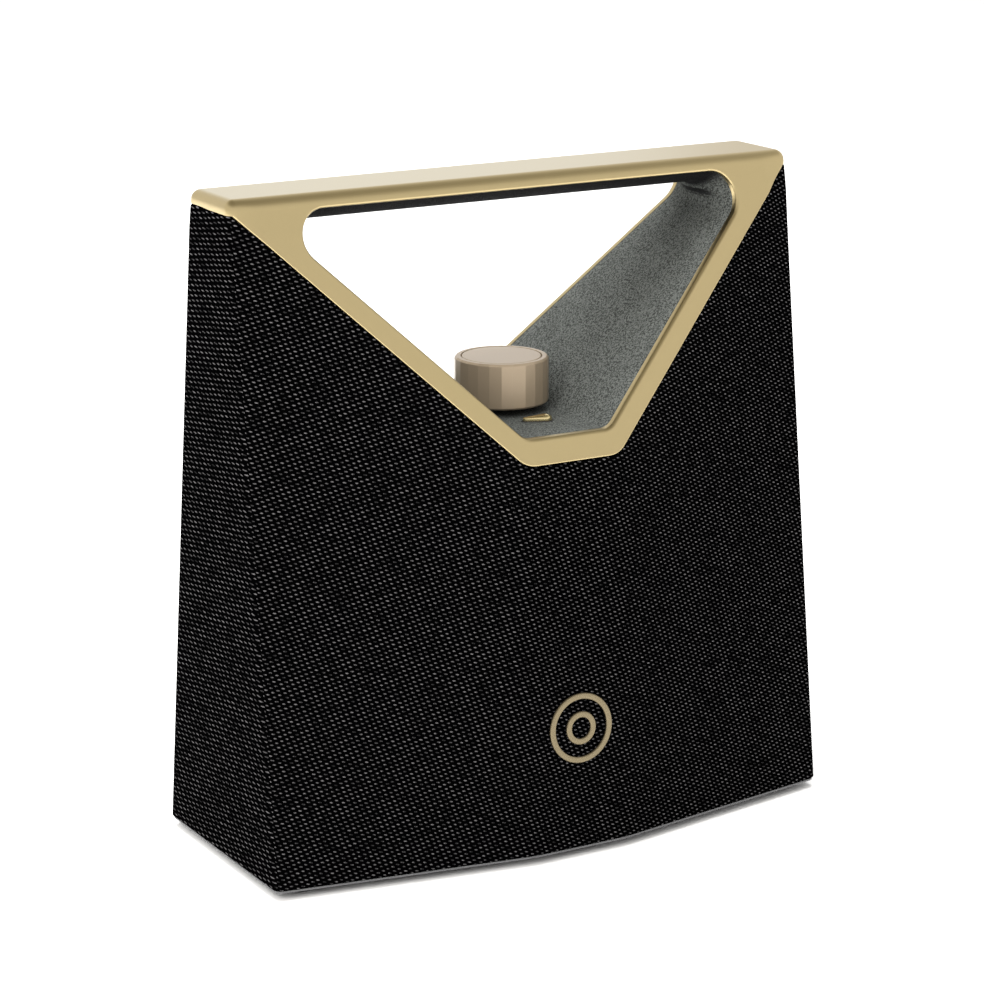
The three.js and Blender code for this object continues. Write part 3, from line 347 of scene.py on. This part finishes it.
finishes = {
    "champagne_metal": plainFinish("champagneMetal", (0.56, 0.45, 0.24), 0.3, 1.0, 0.05, 2600.0, 0.04),
    "knob_metal": plainFinish("knobMetal", (0.38, 0.3, 0.21), 0.4, 0.45, 0.05, 2600.0, 0.05),
    "polished_brass": plainFinish("polishedBrass", (0.84, 0.7, 0.38), 0.2, 1.0, 0.03, 1500.0, 0.02),
    "suede_lining": makeSuede("suedeLining", suede),
    "black_cloth": plainFinish("innerCloth", (0.02, 0.02, 0.022), 0.9, 0.0, 0.4, 1800.0, 0.4, sheen=0.2),
    "black_plastic": plainFinish("blackPlastic", (0.018, 0.018, 0.019), 0.5, 0.0, 0.2, 2200.0, 0.15,
                                 edge=0.5),
    "grey_plastic": plainFinish("greyPlastic", (0.12, 0.12, 0.125), 0.45, 0.0, 0.12, 1800.0, 0.1, edge=0.5),
    "black_rubber": plainFinish("blackRubber", (0.016, 0.016, 0.016), 0.85, 0.0, 0.3, 1500.0, 0.2,
                                edge=0.3),
    "steel": plainFinish("zincSteel", (0.52, 0.53, 0.55), 0.35, 1.0, 0.12, 700.0, 0.06, edge=0.4),
    "bare_aluminium": plainFinish("bareAluminium", (0.68, 0.69, 0.71), 0.35, 1.0, 0.06, 1600.0, 0.06,
                                  stretch=(0.05, 1, 1)),
    "paper_cone": plainFinish("pressedPaper", (0.035, 0.035, 0.038), 0.9, 0.0, 0.35, 1300.0, 0.5),
    "copper_wire": plainFinish("copperWire", (0.72, 0.36, 0.2), 0.3, 1.0, 0.1, 900.0, 0.2,
                               stretch=(1, 8, 1)),
    "circuit_board": plainFinish("circuitBoard", (0.02, 0.1, 0.05), 0.45, 0.0, 0.25, 500.0, 0.05, coat=0.3),
    "cell_wrap": plainFinish("cellWrap", (0.03, 0.07, 0.22), 0.4, 0.0, 0.1, 600.0, 0.05, coat=0.4),
}
clothFinish = makeCloth("wovenCloth", weave)
badgeFinish = plainFinish("badgeMetal", (0.22, 0.18, 0.11), 0.4, 0.9, 0.05, 2600.0, 0.04)

for part in frame["record"]["subparts"]:
    material = finishes[part["material_slot"]]
    mesh = nodes[part["node"]].data
    mesh.materials.clear()
    mesh.materials.append(material)
print("finishes made")


# Mesh helpers

# Corner numbers of the quads of a grid: (row, column), next column, both, next row.
def gridFaces(rows, columns, closeColumns, closeRows, flip):
    row, column = np.meshgrid(np.arange(rows if closeRows else rows - 1),
                              np.arange(columns if closeColumns else columns - 1), indexing="ij")
    nextRow, nextColumn = (row + 1) % rows, (column + 1) % columns
    quads = np.stack([row * columns + column, row * columns + nextColumn,
                      nextRow * columns + nextColumn, nextRow * columns + column], -1).reshape(-1, 4)
    return quads[:, ::-1] if flip else quads


# Points in millimetres over the base plate become one smooth mesh in metres.
def finishMesh(name, points, quads, material, uvs=None, sharpAngle=None, body="cabinet"):
    where = points.reshape(-1, 3) * mm + np.array([0, 0, lift * mm])
    mesh = bpy.data.meshes.new(name)
    mesh.vertices.add(len(where))
    mesh.vertices.foreach_set("co", where.astype(np.float32).ravel())
    mesh.loops.add(quads.size)
    mesh.loops.foreach_set("vertex_index", quads.astype(np.int32).ravel())
    mesh.polygons.add(len(quads))
    mesh.polygons.foreach_set("loop_start", np.arange(0, quads.size, 4, dtype=np.int32))
    if uvs is not None:
        layer = mesh.uv_layers.new(name="weave")
        layer.uv.foreach_set("vector", uvs.astype(np.float32).ravel())
    mesh.update(calc_edges=True)
    work = bmesh.new()
    work.from_mesh(mesh)
    bmesh.ops.remove_doubles(work, verts=work.verts, dist=2e-6)
    bmesh.ops.dissolve_degenerate(work, edges=work.edges, dist=1e-7)
    loose = [v for v in work.verts if not v.link_faces]
    bmesh.ops.delete(work, geom=loose, context="VERTS")
    work.to_mesh(mesh)
    work.free()
    mesh.shade_smooth()
    if sharpAngle is not None:
        mesh.set_sharp_from_angle(angle=math.radians(sharpAngle))
    mesh.materials.append(material)
    piece = bpy.data.objects.new(name, mesh)
    bpy.context.scene.collection.objects.link(piece)
    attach(piece, body)
    return piece


# Several grids as one: [(points, closeColumns, closeRows, flip), ...].
def joined(grids):
    allPoints, allQuads, used = [], [], 0
    for points, closeColumns, closeRows, flip in grids:
        rows, columns = points.shape[:2]
        allPoints.append(points.reshape(-1, 3))
        allQuads.append(gridFaces(rows, columns, closeColumns, closeRows, flip) + used)
        used += rows * columns
    return np.concatenate(allPoints), np.concatenate(allQuads)


# The outer form
form = {
    "height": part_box("handle_frame")[1].z / mm - lift,
    "halfWidth": 126.75,
    "sideTaper": 1.0,
    "sideDepthTop": 17.3,
    "sideDepthBase": 49.1,
    "stripDepthTop": 58.4,
    "stripDepthBase": 66.9,
    "edgeRadius": 3.7,
    "creaseBase": 36.0,
    "creaseTop": 6.0,
    "endFlat": 12.0,
    "openingFloor": 168.5,
    "openingTop": 259.8,
    "floorHalfWidth": 19.2,
    "floorRadius": 8.0,
    "topRadius": 10.3,
    "band": 8.64,
    "bandBelow": 10.1,
    "bandCorner": 11.0,
    "tipInset": 1.15,
}
height, openingTop, openingFloor = form["height"], form["openingTop"], form["openingFloor"]
edgeRadius = form["edgeRadius"]
frameTip = form["halfWidth"] - form["tipInset"]
frameFoot = openingFloor - form["bandBelow"]
openingRise = openingTop - openingFloor
frameAngle = math.atan2(openingRise, frameTip - form["floorHalfWidth"]) + math.asin(
    form["band"] / math.hypot(frameTip - form["floorHalfWidth"], openingRise))
frameSlope = math.tan(frameAngle)
stripHalfWidth = frameTip - (openingTop - frameFoot) / frameSlope
openingTopHalfWidth = form["floorHalfWidth"] + openingRise / frameSlope
lean = (form["stripDepthTop"] - form["sideDepthTop"]) / (height - frameFoot)


def blendBetween(low, high, share):
    return low + (high - low) * np.clip(share, 0, 1)


# Half width, side depth, crease place and strip depth of the plan section at height z.
def sectionSizes(z):
    width = blendBetween(form["halfWidth"] + form["sideTaper"], form["halfWidth"], z / height)
    side = blendBetween(form["sideDepthBase"], form["sideDepthTop"], z / height)
    edge = np.minimum(frameTip - (openingTop - z) / frameSlope, width - form["endFlat"])
    crease = np.where(z <= frameFoot, stripHalfWidth, edge)
    strip = np.where(z <= frameFoot,
                     blendBetween(form["stripDepthBase"], form["stripDepthTop"], z / frameFoot),
                     form["stripDepthTop"] - lean * (z - frameFoot))
    return width, side, crease, strip


# Zero before the crease, the distance after it, and a parabola between.
def softened(distance, reach):
    inside = np.clip(distance + reach, 0, 2 * reach)
    return inside ** 2 / (4 * reach) + np.maximum(distance - reach, 0)


# One quarter of the plan section: share 0 to 1 runs along the front from its middle, 1 to 2 round
# the side edge and 2 to 3 back to the middle of the side. Returns x, y.
def quarterSection(share, z, inset=0.0):
    width, side, crease, strip = sectionSizes(z)
    slope = (strip - side) / (width - crease)
    turn = np.arctan(slope)
    reach = edgeRadius * np.tan((math.pi / 2 - turn) / 2)
    along = np.clip(share, 0, 1) * (width - reach * np.cos(turn))
    soft = np.maximum(blendBetween(form["creaseBase"], form["creaseTop"], z / frameFoot)
                      * np.tan(turn / 2), 0.05)
    frontY = -(strip - slope * softened(along - crease, soft))
    frontTurn = turn * np.clip((along - crease + soft) / (2 * soft), 0, 1)
    middleX = width - reach * np.cos(turn) - edgeRadius * np.sin(turn)
    middleY = -side - reach * np.sin(turn) + edgeRadius * np.cos(turn)
    angle = turn + np.clip(share - 1, 0, 1) * (math.pi / 2 - turn)
    onFront, onEdge = share <= 1, share <= 2
    x = np.where(onFront, along, np.where(onEdge, middleX + edgeRadius * np.sin(angle), width))
    y = np.where(onFront, frontY, np.where(onEdge, middleY - edgeRadius * np.cos(angle),
                                           -(side - reach) * (1 - np.clip(share - 2, 0, 1))))
    way = np.where(onFront, frontTurn, np.where(onEdge, angle, math.pi / 2))
    return x - inset * np.sin(way), y + inset * np.cos(way)


# The four quarters in turn, anticlockwise from the front's middle. z is (rows, columns).
def wholeSection(quarterShares, z, inset=0.0):
    forward, backward = quarterShares[:-1], quarterShares[:0:-1]
    shares = np.concatenate([forward, backward, forward, backward])
    quarter = len(forward)
    signX = np.repeat([1, 1, -1, -1], quarter)
    signY = np.repeat([1, -1, -1, 1], quarter)
    x, y = quarterSection(shares[None, :], z, inset)
    return x * signX, y * signY, shares, signY


# Depth of the front at x, z, side edge rounding included.
def faceY(x, z):
    width, side, crease, strip = sectionSizes(z)
    slope = (strip - side) / (width - crease)
    turn = np.arctan(slope)
    reach = edgeRadius * np.tan((math.pi / 2 - turn) / 2)
    middleX = width - reach * np.cos(turn) - edgeRadius * np.sin(turn)
    middleY = -side - reach * np.sin(turn) + edgeRadius * np.cos(turn)
    soft = np.maximum(blendBetween(form["creaseBase"], form["creaseTop"], z / frameFoot)
                      * np.tan(turn / 2), 0.05)
    flat = -(strip - slope * softened(np.abs(x) - crease, soft))
    over = np.clip(np.abs(x) - middleX, 0, edgeRadius)
    rolled = middleY - np.sqrt(edgeRadius ** 2 - over ** 2)
    return np.where(np.abs(x) > width - reach * np.cos(turn), rolled, flat)


# Woven cover
cover = {
    "low": 1.35,               # over the base plate
    "spacing": 2.6,
    "rollRadius": 1.0,         # at the cover's edges
    "tuck": 1.4,               # how far the edges go in
    "thickness": 0.8,
    "frameGap": 0.15,
    "stretch": 0.5,            # the pattern on the sides is pulled to twice its width
}


# Height of the cover's edge: level under the frame, an arc, then beside the frame.
def coverTop(x):
    across = np.abs(x)
    radius = form["bandCorner"]
    arcStart = stripHalfWidth - radius * math.tan(frameAngle / 2)
    arcEnd = arcStart + radius * math.sin(frameAngle)
    past = np.clip(across - arcStart, 0, radius)
    arc = frameFoot + radius - np.sqrt(np.maximum(radius ** 2 - past ** 2, 0))
    line = openingTop - (frameTip - across) * frameSlope
    edge = np.where(across < arcStart, frameFoot, np.where(across < arcEnd, arc, line))
    return np.minimum(edge, openingTop) - cover["frameGap"]


def makeCover(kit):
    columnsFront = int(form["halfWidth"] / kit["spacing"])
    columnsSide = int(form["sideDepthBase"] / kit["spacing"])
    shares = np.concatenate([np.linspace(0, 1, columnsFront, endpoint=False),
                             np.linspace(1, 2, 6, endpoint=False), np.linspace(2, 3, columnsSide + 1)])
    # heights of the cover's edge above each column, settled in a few rounds
    top = np.full((1, 4 * (len(shares) - 1)), openingTop)
    for settling in range(6):
        top = coverTop(wholeSection(shares, top)[0])
    rowsMiddle = int((openingTop - kit["low"]) / kit["spacing"])
    edgeSteps = kit["rollRadius"] * np.array([0, 0.15, 0.4, 0.7, 1.0])
    inner = np.linspace(0, 1, rowsMiddle + 1)[1:-1, None]
    lowEdge, highEdge = kit["low"] + kit["rollRadius"], top - kit["rollRadius"]
    z = np.concatenate([kit["low"] + edgeSteps[:, None] + 0 * top,
                        lowEdge + (highEdge - lowEdge) * inner,
                        top - edgeSteps[::-1, None]])
    radius = kit["rollRadius"]
    rollIn = radius - np.sqrt(radius ** 2 - (radius - edgeSteps) ** 2)
    inset = np.concatenate([rollIn, np.zeros(rowsMiddle - 1), rollIn[::-1]])[:, None]
    # one more row at each edge goes straight in
    z = np.concatenate([z[:1], z, z[-1:]])
    inset = np.concatenate([inset[:1] + kit["tuck"], inset, inset[-1:] + kit["tuck"]])
    x, y, columnShares, signY = wholeSection(shares, z, inset)
    points = np.stack([x, y, z], -1)

    # across the cloth from the front's middle both ways; the seam is at the rear left edge
    width, side = sectionSizes(z)[:2]
    aroundSide = width + kit["stretch"] * np.clip(side + y, 0, 2 * side)
    isBack = (signY < 0) & (columnShares < 1.5)
    isFront = (signY > 0) & (columnShares < 1.5)
    across = np.where(isFront, x, np.where(isBack, 2 * width + 2 * kit["stretch"] * side - x,
                                           np.sign(x) * aroundSide))
    rows, columns = z.shape
    quads = gridFaces(rows, columns, True, False, False)
    corners = across.ravel()[quads]
    seam = (corners.max(1) - corners.min(1)) > form["halfWidth"]
    backCorner = corners > 0
    corners = np.where(seam[:, None] & backCorner, corners.min(1)[:, None], corners)
    uvs = np.stack([corners, z.ravel()[quads]], -1) * weave["uvPerMm"]

    points, quads, uvs = cutPort(points.reshape(-1, 3), quads, uvs)
    piece = finishMesh("woven_cover", points, quads, clothFinish, uvs)
    skin = piece.modifiers.new("thickness", "SOLIDIFY")
    skin.thickness = kit["thickness"] * mm
    skin.offset = -1
    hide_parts("fabric_cover")
    return piece


portHole = {"halfWidth": 17.3, "halfHeight": 6.3, "radius": 3.3, "z": 27.0}


# Drops the faces in the rear port's rounded outline and draws their rim out to it.
def cutPort(points, quads, uvs):
    kit = portHole
    rest = np.array([kit["halfWidth"] - kit["radius"], kit["halfHeight"] - kit["radius"]])
    place = np.stack([points[:, 0], points[:, 2] - kit["z"]], -1)
    over = np.abs(place) - rest
    outside = np.maximum(over, 0)
    length = np.linalg.norm(outside, axis=1)
    distance = length + np.minimum(over.max(1), 0) - kit["radius"]
    inHole = (distance < 0) & (points[:, 1] > 0)
    way = np.where((length > 1e-6)[:, None], outside / np.maximum(length, 1e-6)[:, None],
                   np.eye(2)[over.argmax(1)])
    moved = place + np.sign(place + 1e-9) * way * np.where(inHole, -distance, 0)[:, None]
    points = points.copy()
    points[:, 0], points[:, 2] = moved[:, 0], moved[:, 1] + kit["z"]
    keep = ~inHole[quads].all(1)
    return points, quads[keep], uvs.reshape(len(quads), 4, 2)[keep]


makeCover(cover)
print("cover made")


# Metal frame and handle
metal = {
    "lipRadius": 1.3,
    "lipDepth": 3.2,
    "lipTurnOut": 0.4,
    "edgeRadius": 0.7,        # at the frame's outer line
    "edgeDepth": 2.4,
    "topRadius": 3.7,
    "wallBottomEnds": 259.75,
    "rearSeam": 0.3,
    "barTuck": (2.5, 0.08, 0.04, 0.0, 0.0),    # how far in the handle's lowest rows go
    "barOverlap": 0.1,                         # the handle reaches this far below the lip
    "outset": -0.15,
}


# A closed outline: each corner an arc, each edge after it in even steps.
def roundedOutline(corners, radii, arcSteps, edgeSteps):
    corners = np.asarray(corners, float)
    pieces = []
    count = len(corners)
    ends = []
    for i in range(count):
        before, here, after = corners[i - 1], corners[i], corners[(i + 1) % count]
        into, out = here - before, after - here
        into, out = into / np.linalg.norm(into), out / np.linalg.norm(out)
        turn = math.atan2(into[0] * out[1] - into[1] * out[0], into @ out)
        reach = radii[i] * math.tan(turn / 2)
        angle = turn * np.linspace(0, 1, arcSteps[i] + 1)[:, None]
        inward = np.array([-into[1], into[0]])
        arc = here + into * (radii[i] * np.sin(angle) - reach) + inward * radii[i] * (1 - np.cos(angle))
        ends.append(arc)
    for i in range(count):
        start, stop = ends[i][-1], ends[(i + 1) % count][0]
        steps = np.linspace(0, 1, edgeSteps[i] + 1)[1:-1, None]
        pieces += [ends[i], start + (stop - start) * steps]
    return np.concatenate(pieces)


arcTop, arcLow, wallSteps, floorSteps, topSteps = 16, 8, 24, 16, 48


# The opening's outline moved out by outset: from the top left corner, down and round.
def openingLoop(outset):
    low, high = openingFloor - outset, openingTop + outset
    edge = outset / math.sin(frameAngle)
    wide, narrow = (form["floorHalfWidth"] + (z - openingFloor) / frameSlope + edge for z in (high, low))
    corners = [(-wide, high), (-narrow, low), (narrow, low), (wide, high)]
    top, floor = form["topRadius"] + outset, form["floorRadius"] + outset
    return roundedOutline(corners, [top, floor, floor, top], [arcTop, arcLow, arcLow, arcTop],
                          [wallSteps, floorSteps, wallSteps, topSteps])


vColumns = 2 * (arcTop + 1) + 2 * (arcLow + 1) + 2 * (wallSteps - 1) + floorSteps - 1


# The frame's outer line, matched point by point to the opening's V: from the left tip, down beside
# the wall, round the low corners and up to the right tip.
def frameLine(inset):
    inner = openingLoop(metal["lipRadius"])[:vColumns]
    half = arcTop + 1 + wallSteps - 1
    down = np.array([math.cos(frameAngle), -math.sin(frameAngle)])
    tip = np.array([-frameTip, openingTop]) + inset * np.array([math.sin(frameAngle), math.cos(frameAngle)])
    along = (inner[:half] - tip) @ down
    along[:arcTop + 1] = along[arcTop] * np.linspace(0, 1, arcTop + 1)
    left = tip + along[:, None] * down
    radius = form["bandCorner"] - inset
    centre = np.array([-(stripHalfWidth - form["bandCorner"] * math.tan(frameAngle / 2)),
                       frameFoot + form["bandCorner"]])
    angle = math.pi + np.linspace(math.pi / 2 - frameAngle, math.pi / 2, arcLow + 1)
    corner = centre + radius * np.stack([np.cos(angle), np.sin(angle)], -1)
    bottom = np.linspace(corner[-1], corner[-1] * [-1, 1], floorSteps + 1)[1:-1]
    rightHalf = np.concatenate([left, corner])[::-1] * [-1, 1]
    return np.concatenate([left, corner, bottom, rightHalf])


# A line in elevation laid on the front, sunk in by depth.
def onFront(line, depth):
    return np.stack([line[:, 0], faceY(line[:, 0], line[:, 1]) + depth, line[:, 1]], -1)


# The plate round the V, its rounded outer line, and the lip that turns in all round.
def ringGrids(side):
    arc = np.linspace(0, math.pi / 2, 5)
    edge, lip = metal["edgeRadius"], metal["lipRadius"]
    rows = []
    outerDepths = [metal["edgeDepth"]] + list(edge * (1 - np.sin(arc)))
    outerInsets = [0.0] + list(edge * (1 - np.cos(arc)))
    for depth, inset in zip(outerDepths, outerInsets):
        line = frameLine(inset - metal["outset"])
        rows.append(onFront(line, depth))
    outer, inner = frameLine(edge - metal["outset"]), openingLoop(lip)[:vColumns]
    for share in (0.03, *np.linspace(0.08, 0.92, 20), 0.97, 1.0):
        line = outer + (inner - outer) * share
        rows.append(onFront(line, 0.0))
    plate = np.stack(rows)
    lipRows = []
    for outset, depth in zip(list(lip * (1 - np.sin(arc))) + [0.0, 0.0],
                             list(lip * (1 - np.cos(arc))) + [metal["lipDepth"] - 0.3, metal["lipDepth"]]):
        lipRows.append(onFront(openingLoop(outset), depth))
    # the lip's hidden edge turns out behind the plate
    lipRows.append(onFront(openingLoop(metal["lipRadius"] + metal["lipTurnOut"]), metal["lipDepth"]))
    lipGrid = np.stack(lipRows)
    turned = np.array([1, side, 1])
    return [(plate * turned, False, False, side < 0), (lipGrid * turned, True, False, side < 0)]


# The handle: plan sections stacked up its wall, over the rounded top edge and in to the middle
# line.
def barGrid():
    radius = metal["topRadius"]
    front = np.concatenate([np.linspace(0, 0.68, 18, endpoint=False),
                            np.linspace(0.68, 1, 16, endpoint=False)])
    shares = np.concatenate([front, np.linspace(1, 2, 8, endpoint=False), np.linspace(2, 3, 9)])
    flatTop = np.full((1, 4 * (len(shares) - 1)), openingTop)
    x, y = wholeSection(shares, flatTop)[:2]
    start = openingLoop(metal["lipRadius"])[0]
    bottom = blendBetween(openingTop + metal["lipRadius"] - metal["barOverlap"], metal["wallBottomEnds"],
                          (np.abs(x) + start[0]) / (frameTip + start[0]))
    bottom = bottom + np.where(y > 0, metal["rearSeam"], 0) * np.clip(y / 6, 0, 1)
    wallTop = height - radius
    arc = np.linspace(0, math.pi / 2, 10)
    rowsZ = [bottom, bottom] + [bottom + (wallTop - bottom) * s for s in (0.15, 0.6, 1.0)]
    insets = list(metal["barTuck"])
    rowsZ += [wallTop + radius * math.sin(a) + 0 * bottom for a in arc[1:]]
    insets += list(radius * (1 - np.cos(arc[1:])))
    z = np.concatenate(rowsZ)
    inset = np.array(insets)[:, None]
    x, y = wholeSection(shares, z, inset)[:2]
    points = np.stack([x, y, z], -1)
    shrink = np.array([0.97, 0.6, 0.3, 0.0])[:, None]
    top = np.stack([np.repeat(x[-1:], 4, 0), y[-1:] * shrink, np.repeat(z[-1:], 4, 0)], -1)
    return (np.concatenate([points, top]), True, False, False)


points, quads = joined(ringGrids(1) + [barGrid()])
handleFrame = finishMesh("handle_and_front_frame", points, quads, finishes["champagne_metal"],
                         sharpAngle=40)
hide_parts("handle_frame")
points, quads = joined(ringGrids(-1))
rearFrame = finishMesh("rear_metal_frame", points, quads, finishes["champagne_metal"], sharpAngle=40)
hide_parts("rear_frame")
print("frame and handle made")


# Suede lining
lining = {"thickness": 1.6, "grip": 6.5, "wall": 1.0, "stations": 29, "frameBack": 3.5}


# The opening's outline carried from front to back; it swells in by 1 - v * v, most over the grip, a
# little on the walls and nothing on the floor.
def makeLining(kit):
    inner, outer = openingLoop(0.0), openingLoop(kit["thickness"])
    outward = (outer - inner) / kit["thickness"]
    up = outward[:, 1] / np.maximum(np.linalg.norm(outward, axis=1), 1e-6)
    wallUp = -math.cos(frameAngle)
    rise = np.clip((up - wallUp) / (0.3 - wallUp), 0, 1)
    over = kit["wall"] + (kit["grip"] - kit["wall"]) * rise * rise * (3 - 2 * rise)
    swell = np.where(up > wallUp, over, kit["wall"] * (up + 1) / (wallUp + 1))
    v = np.linspace(-1, 1, kit["stations"])[:, None]
    grids = []
    for line in (inner, outer):
        depth = form["stripDepthTop"] - lean * (line[:, 1] - frameFoot) - kit["frameBack"]
        push = (swell * (1 - v * v))[..., None] * outward
        grids.append(np.stack([line[:, 0] - push[..., 0], v * depth, line[:, 1] - push[..., 1]], -1))
    closed = np.concatenate([grids[0], grids[1][::-1]])
    rows, columns = closed.shape[:2]
    quads = gridFaces(rows, columns, True, True, False)
    piece = finishMesh("suede_lining", closed, quads, finishes["suede_lining"])
    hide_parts("handle_lining")


makeLining(lining)
print("lining made")


# Turned and teardrop pieces

# A closed profile of (radius, height) carried round an upright axis.
def turnedGrid(profile, centre, sides=64):
    profile = np.asarray(profile, float)
    angle = np.linspace(0, 2 * math.pi, sides, endpoint=False)[None, :]
    radius, along = profile[:, :1], profile[:, 1:]
    x, y, z = radius * np.cos(angle), radius * np.sin(angle), along + 0 * angle
    return np.stack([x + centre[0], y + centre[1], z + centre[2]], -1)


# Points of an arc in a profile, angles in degrees.
def arcProfile(centre, radius, start, stop, steps=6):
    angle = np.radians(np.linspace(start, stop, steps))
    return [(centre[0] + radius * c, centre[1] + radius * s) for c, s in zip(np.cos(angle), np.sin(angle))]


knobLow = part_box("volume_knob")[0].z / mm - lift
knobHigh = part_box("volume_knob")[1].z / mm - lift
knob = {"radius": 19.0, "facets": 24, "chamfer": 0.75, "capRadius": 16.0, "groove": 0.45, "y": -2.2}


# Facets with a chamfer at both ends and a groove round the cap.
def makeKnob(kit):
    r, c, seat = kit["radius"], kit["chamfer"], kit["capRadius"] + kit["groove"]
    profile = [(0, knobLow), (r - c, knobLow), (r, knobLow + c), (r, knobHigh - c), (r - c, knobHigh),
               (seat, knobHigh), (seat, knobHigh - 1.0), (0, knobHigh - 1.0)]
    grid = turnedGrid(profile, (0, kit["y"], 0), kit["facets"])
    piece = finishMesh("faceted_knob", grid, gridFaces(*grid.shape[:2], True, False, False),
                       finishes["knob_metal"], sharpAngle=8, body="knob")
    bevel = piece.modifiers.new("softEdges", "BEVEL")
    bevel.width = 0.00022
    bevel.segments = 2
    bevel.limit_method = "ANGLE"
    bevel.angle_limit = math.radians(10)
    bevel.harden_normals = True
    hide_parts("volume_knob")

    cap = kit["capRadius"]
    capTop = knobHigh - 0.05
    capEdge = arcProfile((cap - 0.35, knobHigh - 0.4), 0.35, 0, 90)
    capProfile = [(0, knobHigh - 1.0), (cap, knobHigh - 1.0)] + capEdge
    capProfile += [(cap - 1, capTop), (cap * 0.5, capTop), (0, capTop)]
    grid = turnedGrid(capProfile, (0, kit["y"], 0), 96)
    piece = finishMesh("knob_disc", grid, gridFaces(*grid.shape[:2], True, False, False),
                       finishes["knob_metal"], sharpAngle=40, body="knob")
    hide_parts("knob_cap")


makeKnob(knob)

key = {"length": 8.0, "narrow": 1.0, "wide": 2.9, "turn": -13.2, "start": (-3.6, -27.2),
       "proud": 2.6, "dome": 0.5, "clear": 0.35, "wall": 0.4}


# Rings of a teardrop: half width = base * share + outset, height = z + dome * base.
def teardropRows(rows, steps=14):
    kit = key
    side = math.acos((kit["narrow"] - kit["wide"]) / kit["length"])
    wideAngle = np.linspace(-side, side, 2 * steps)
    narrowAngle = np.linspace(side, 2 * math.pi - side, steps)
    angle = np.concatenate([wideAngle, narrowAngle])
    spine = np.concatenate([np.full(2 * steps, kit["length"]), np.zeros(steps)])
    base = np.concatenate([np.full(2 * steps, kit["wide"]), np.full(steps, kit["narrow"])])
    rings = []
    for share, outset, z, dome in rows:
        radius = base * share + outset
        rings.append(np.stack([spine + radius * np.cos(angle), radius * np.sin(angle),
                               openingFloor + z + dome * base], -1))
    grid = np.stack(rings)
    turn = math.radians(kit["turn"])
    x = grid[..., 0] * math.cos(turn) - grid[..., 1] * math.sin(turn) + kit["start"][0]
    y = grid[..., 0] * math.sin(turn) + grid[..., 1] * math.cos(turn) + kit["start"][1]
    return np.stack([x, y, grid[..., 2]], -1)


# A dome as high as a share of its own half width, over straight sides.
def makeKey(kit):
    arc = np.linspace(0, math.pi / 2, 9)
    side = kit["proud"] - kit["wide"] * kit["dome"]
    rows = [(0.0, 0.0, -0.4, 0.0), (1.0, 0.0, -0.4, 0.0)]
    rows += [(math.cos(a), 0.0, side, math.sin(a) * kit["dome"]) for a in arc]
    grid = teardropRows(rows)
    piece = finishMesh("teardrop_key", grid, gridFaces(*grid.shape[:2], True, False, False),
                       finishes["polished_brass"], sharpAngle=50, body="key")
    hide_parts("power_key")

    clear, rim = kit["clear"], kit["clear"] + kit["wall"]
    profile = [(rim, -1.2), (rim, 0.15), (rim - 0.1, 0.25), (clear + 0.1, 0.25), (clear, 0.15),
               (clear, -1.2)]
    grid = teardropRows([(1.0, outset, z, 0.0) for outset, z in profile])
    piece = finishMesh("key_recess", grid, gridFaces(*grid.shape[:2], True, True, False),
                       finishes["black_plastic"], sharpAngle=40)
    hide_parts("key_bezel")


makeKey(key)
print("knob and key made")

badge = {"radius": 14.3, "band": 2.5, "innerRadius": 6.8, "thickness": 1.0}


# A band with rounded edges, standing on the cabinet's leaning front.
def makeRing(name, node, radius, band, thickness):
    low, high = (np.array(corner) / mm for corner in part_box(node))
    middle = (low + high) / 2
    tilt = math.asin(min((high[1] - low[1] - thickness) / (2 * radius), 1))
    half, edge = band / 2, thickness * 0.45
    section = arcProfile((half - edge, 0), edge, -10, 90) + arcProfile((edge - half, 0), edge, 90, 190)
    section += [(-half + 0.05, -thickness / 2), (half - 0.05, -thickness / 2)]
    profile = np.array([(radius - half + across, out) for across, out in section])
    grid = turnedGrid(profile, (0, 0, 0), 96)
    across, up, out = grid[..., 0], grid[..., 1], grid[..., 2]
    y = -out * math.cos(tilt) + up * math.sin(tilt) + middle[1]
    z = up * math.cos(tilt) + out * math.sin(tilt) + middle[2] - lift
    points = np.stack([across + middle[0], y, z], -1)
    piece = finishMesh(name, points, gridFaces(*points.shape[:2], True, True, False), badgeFinish,
                       sharpAngle=50)
    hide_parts(node)


makeRing("badge_outer_band", "badge_ring", badge["radius"], badge["band"], badge["thickness"])
makeRing("badge_inner_band", "badge_centre", badge["innerRadius"], badge["band"], badge["thickness"])


# A rubber foot with a rounded rim, turned about its own middle.
def makeFoot(node):
    low, high = (np.array(corner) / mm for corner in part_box(node))
    middle, radius = (low + high) / 2, (high[0] - low[0]) / 2
    tall = high[2] - low[2]
    profile = [(0, 0)] + arcProfile((radius - 0.7, 0.7), 0.7, -90, 0) + [(radius, tall), (0, tall)]
    grid = turnedGrid(profile, (middle[0], middle[1], low[2] - lift), 48)
    piece = finishMesh("rubber_" + node, grid, gridFaces(*grid.shape[:2], True, False, False),
                       finishes["black_rubber"], sharpAngle=40)
    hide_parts(node)


for node in ("foot_front_left", "foot_front_right", "foot_rear_left", "foot_rear_right"):
    makeFoot(node)
print("badge and feet made")
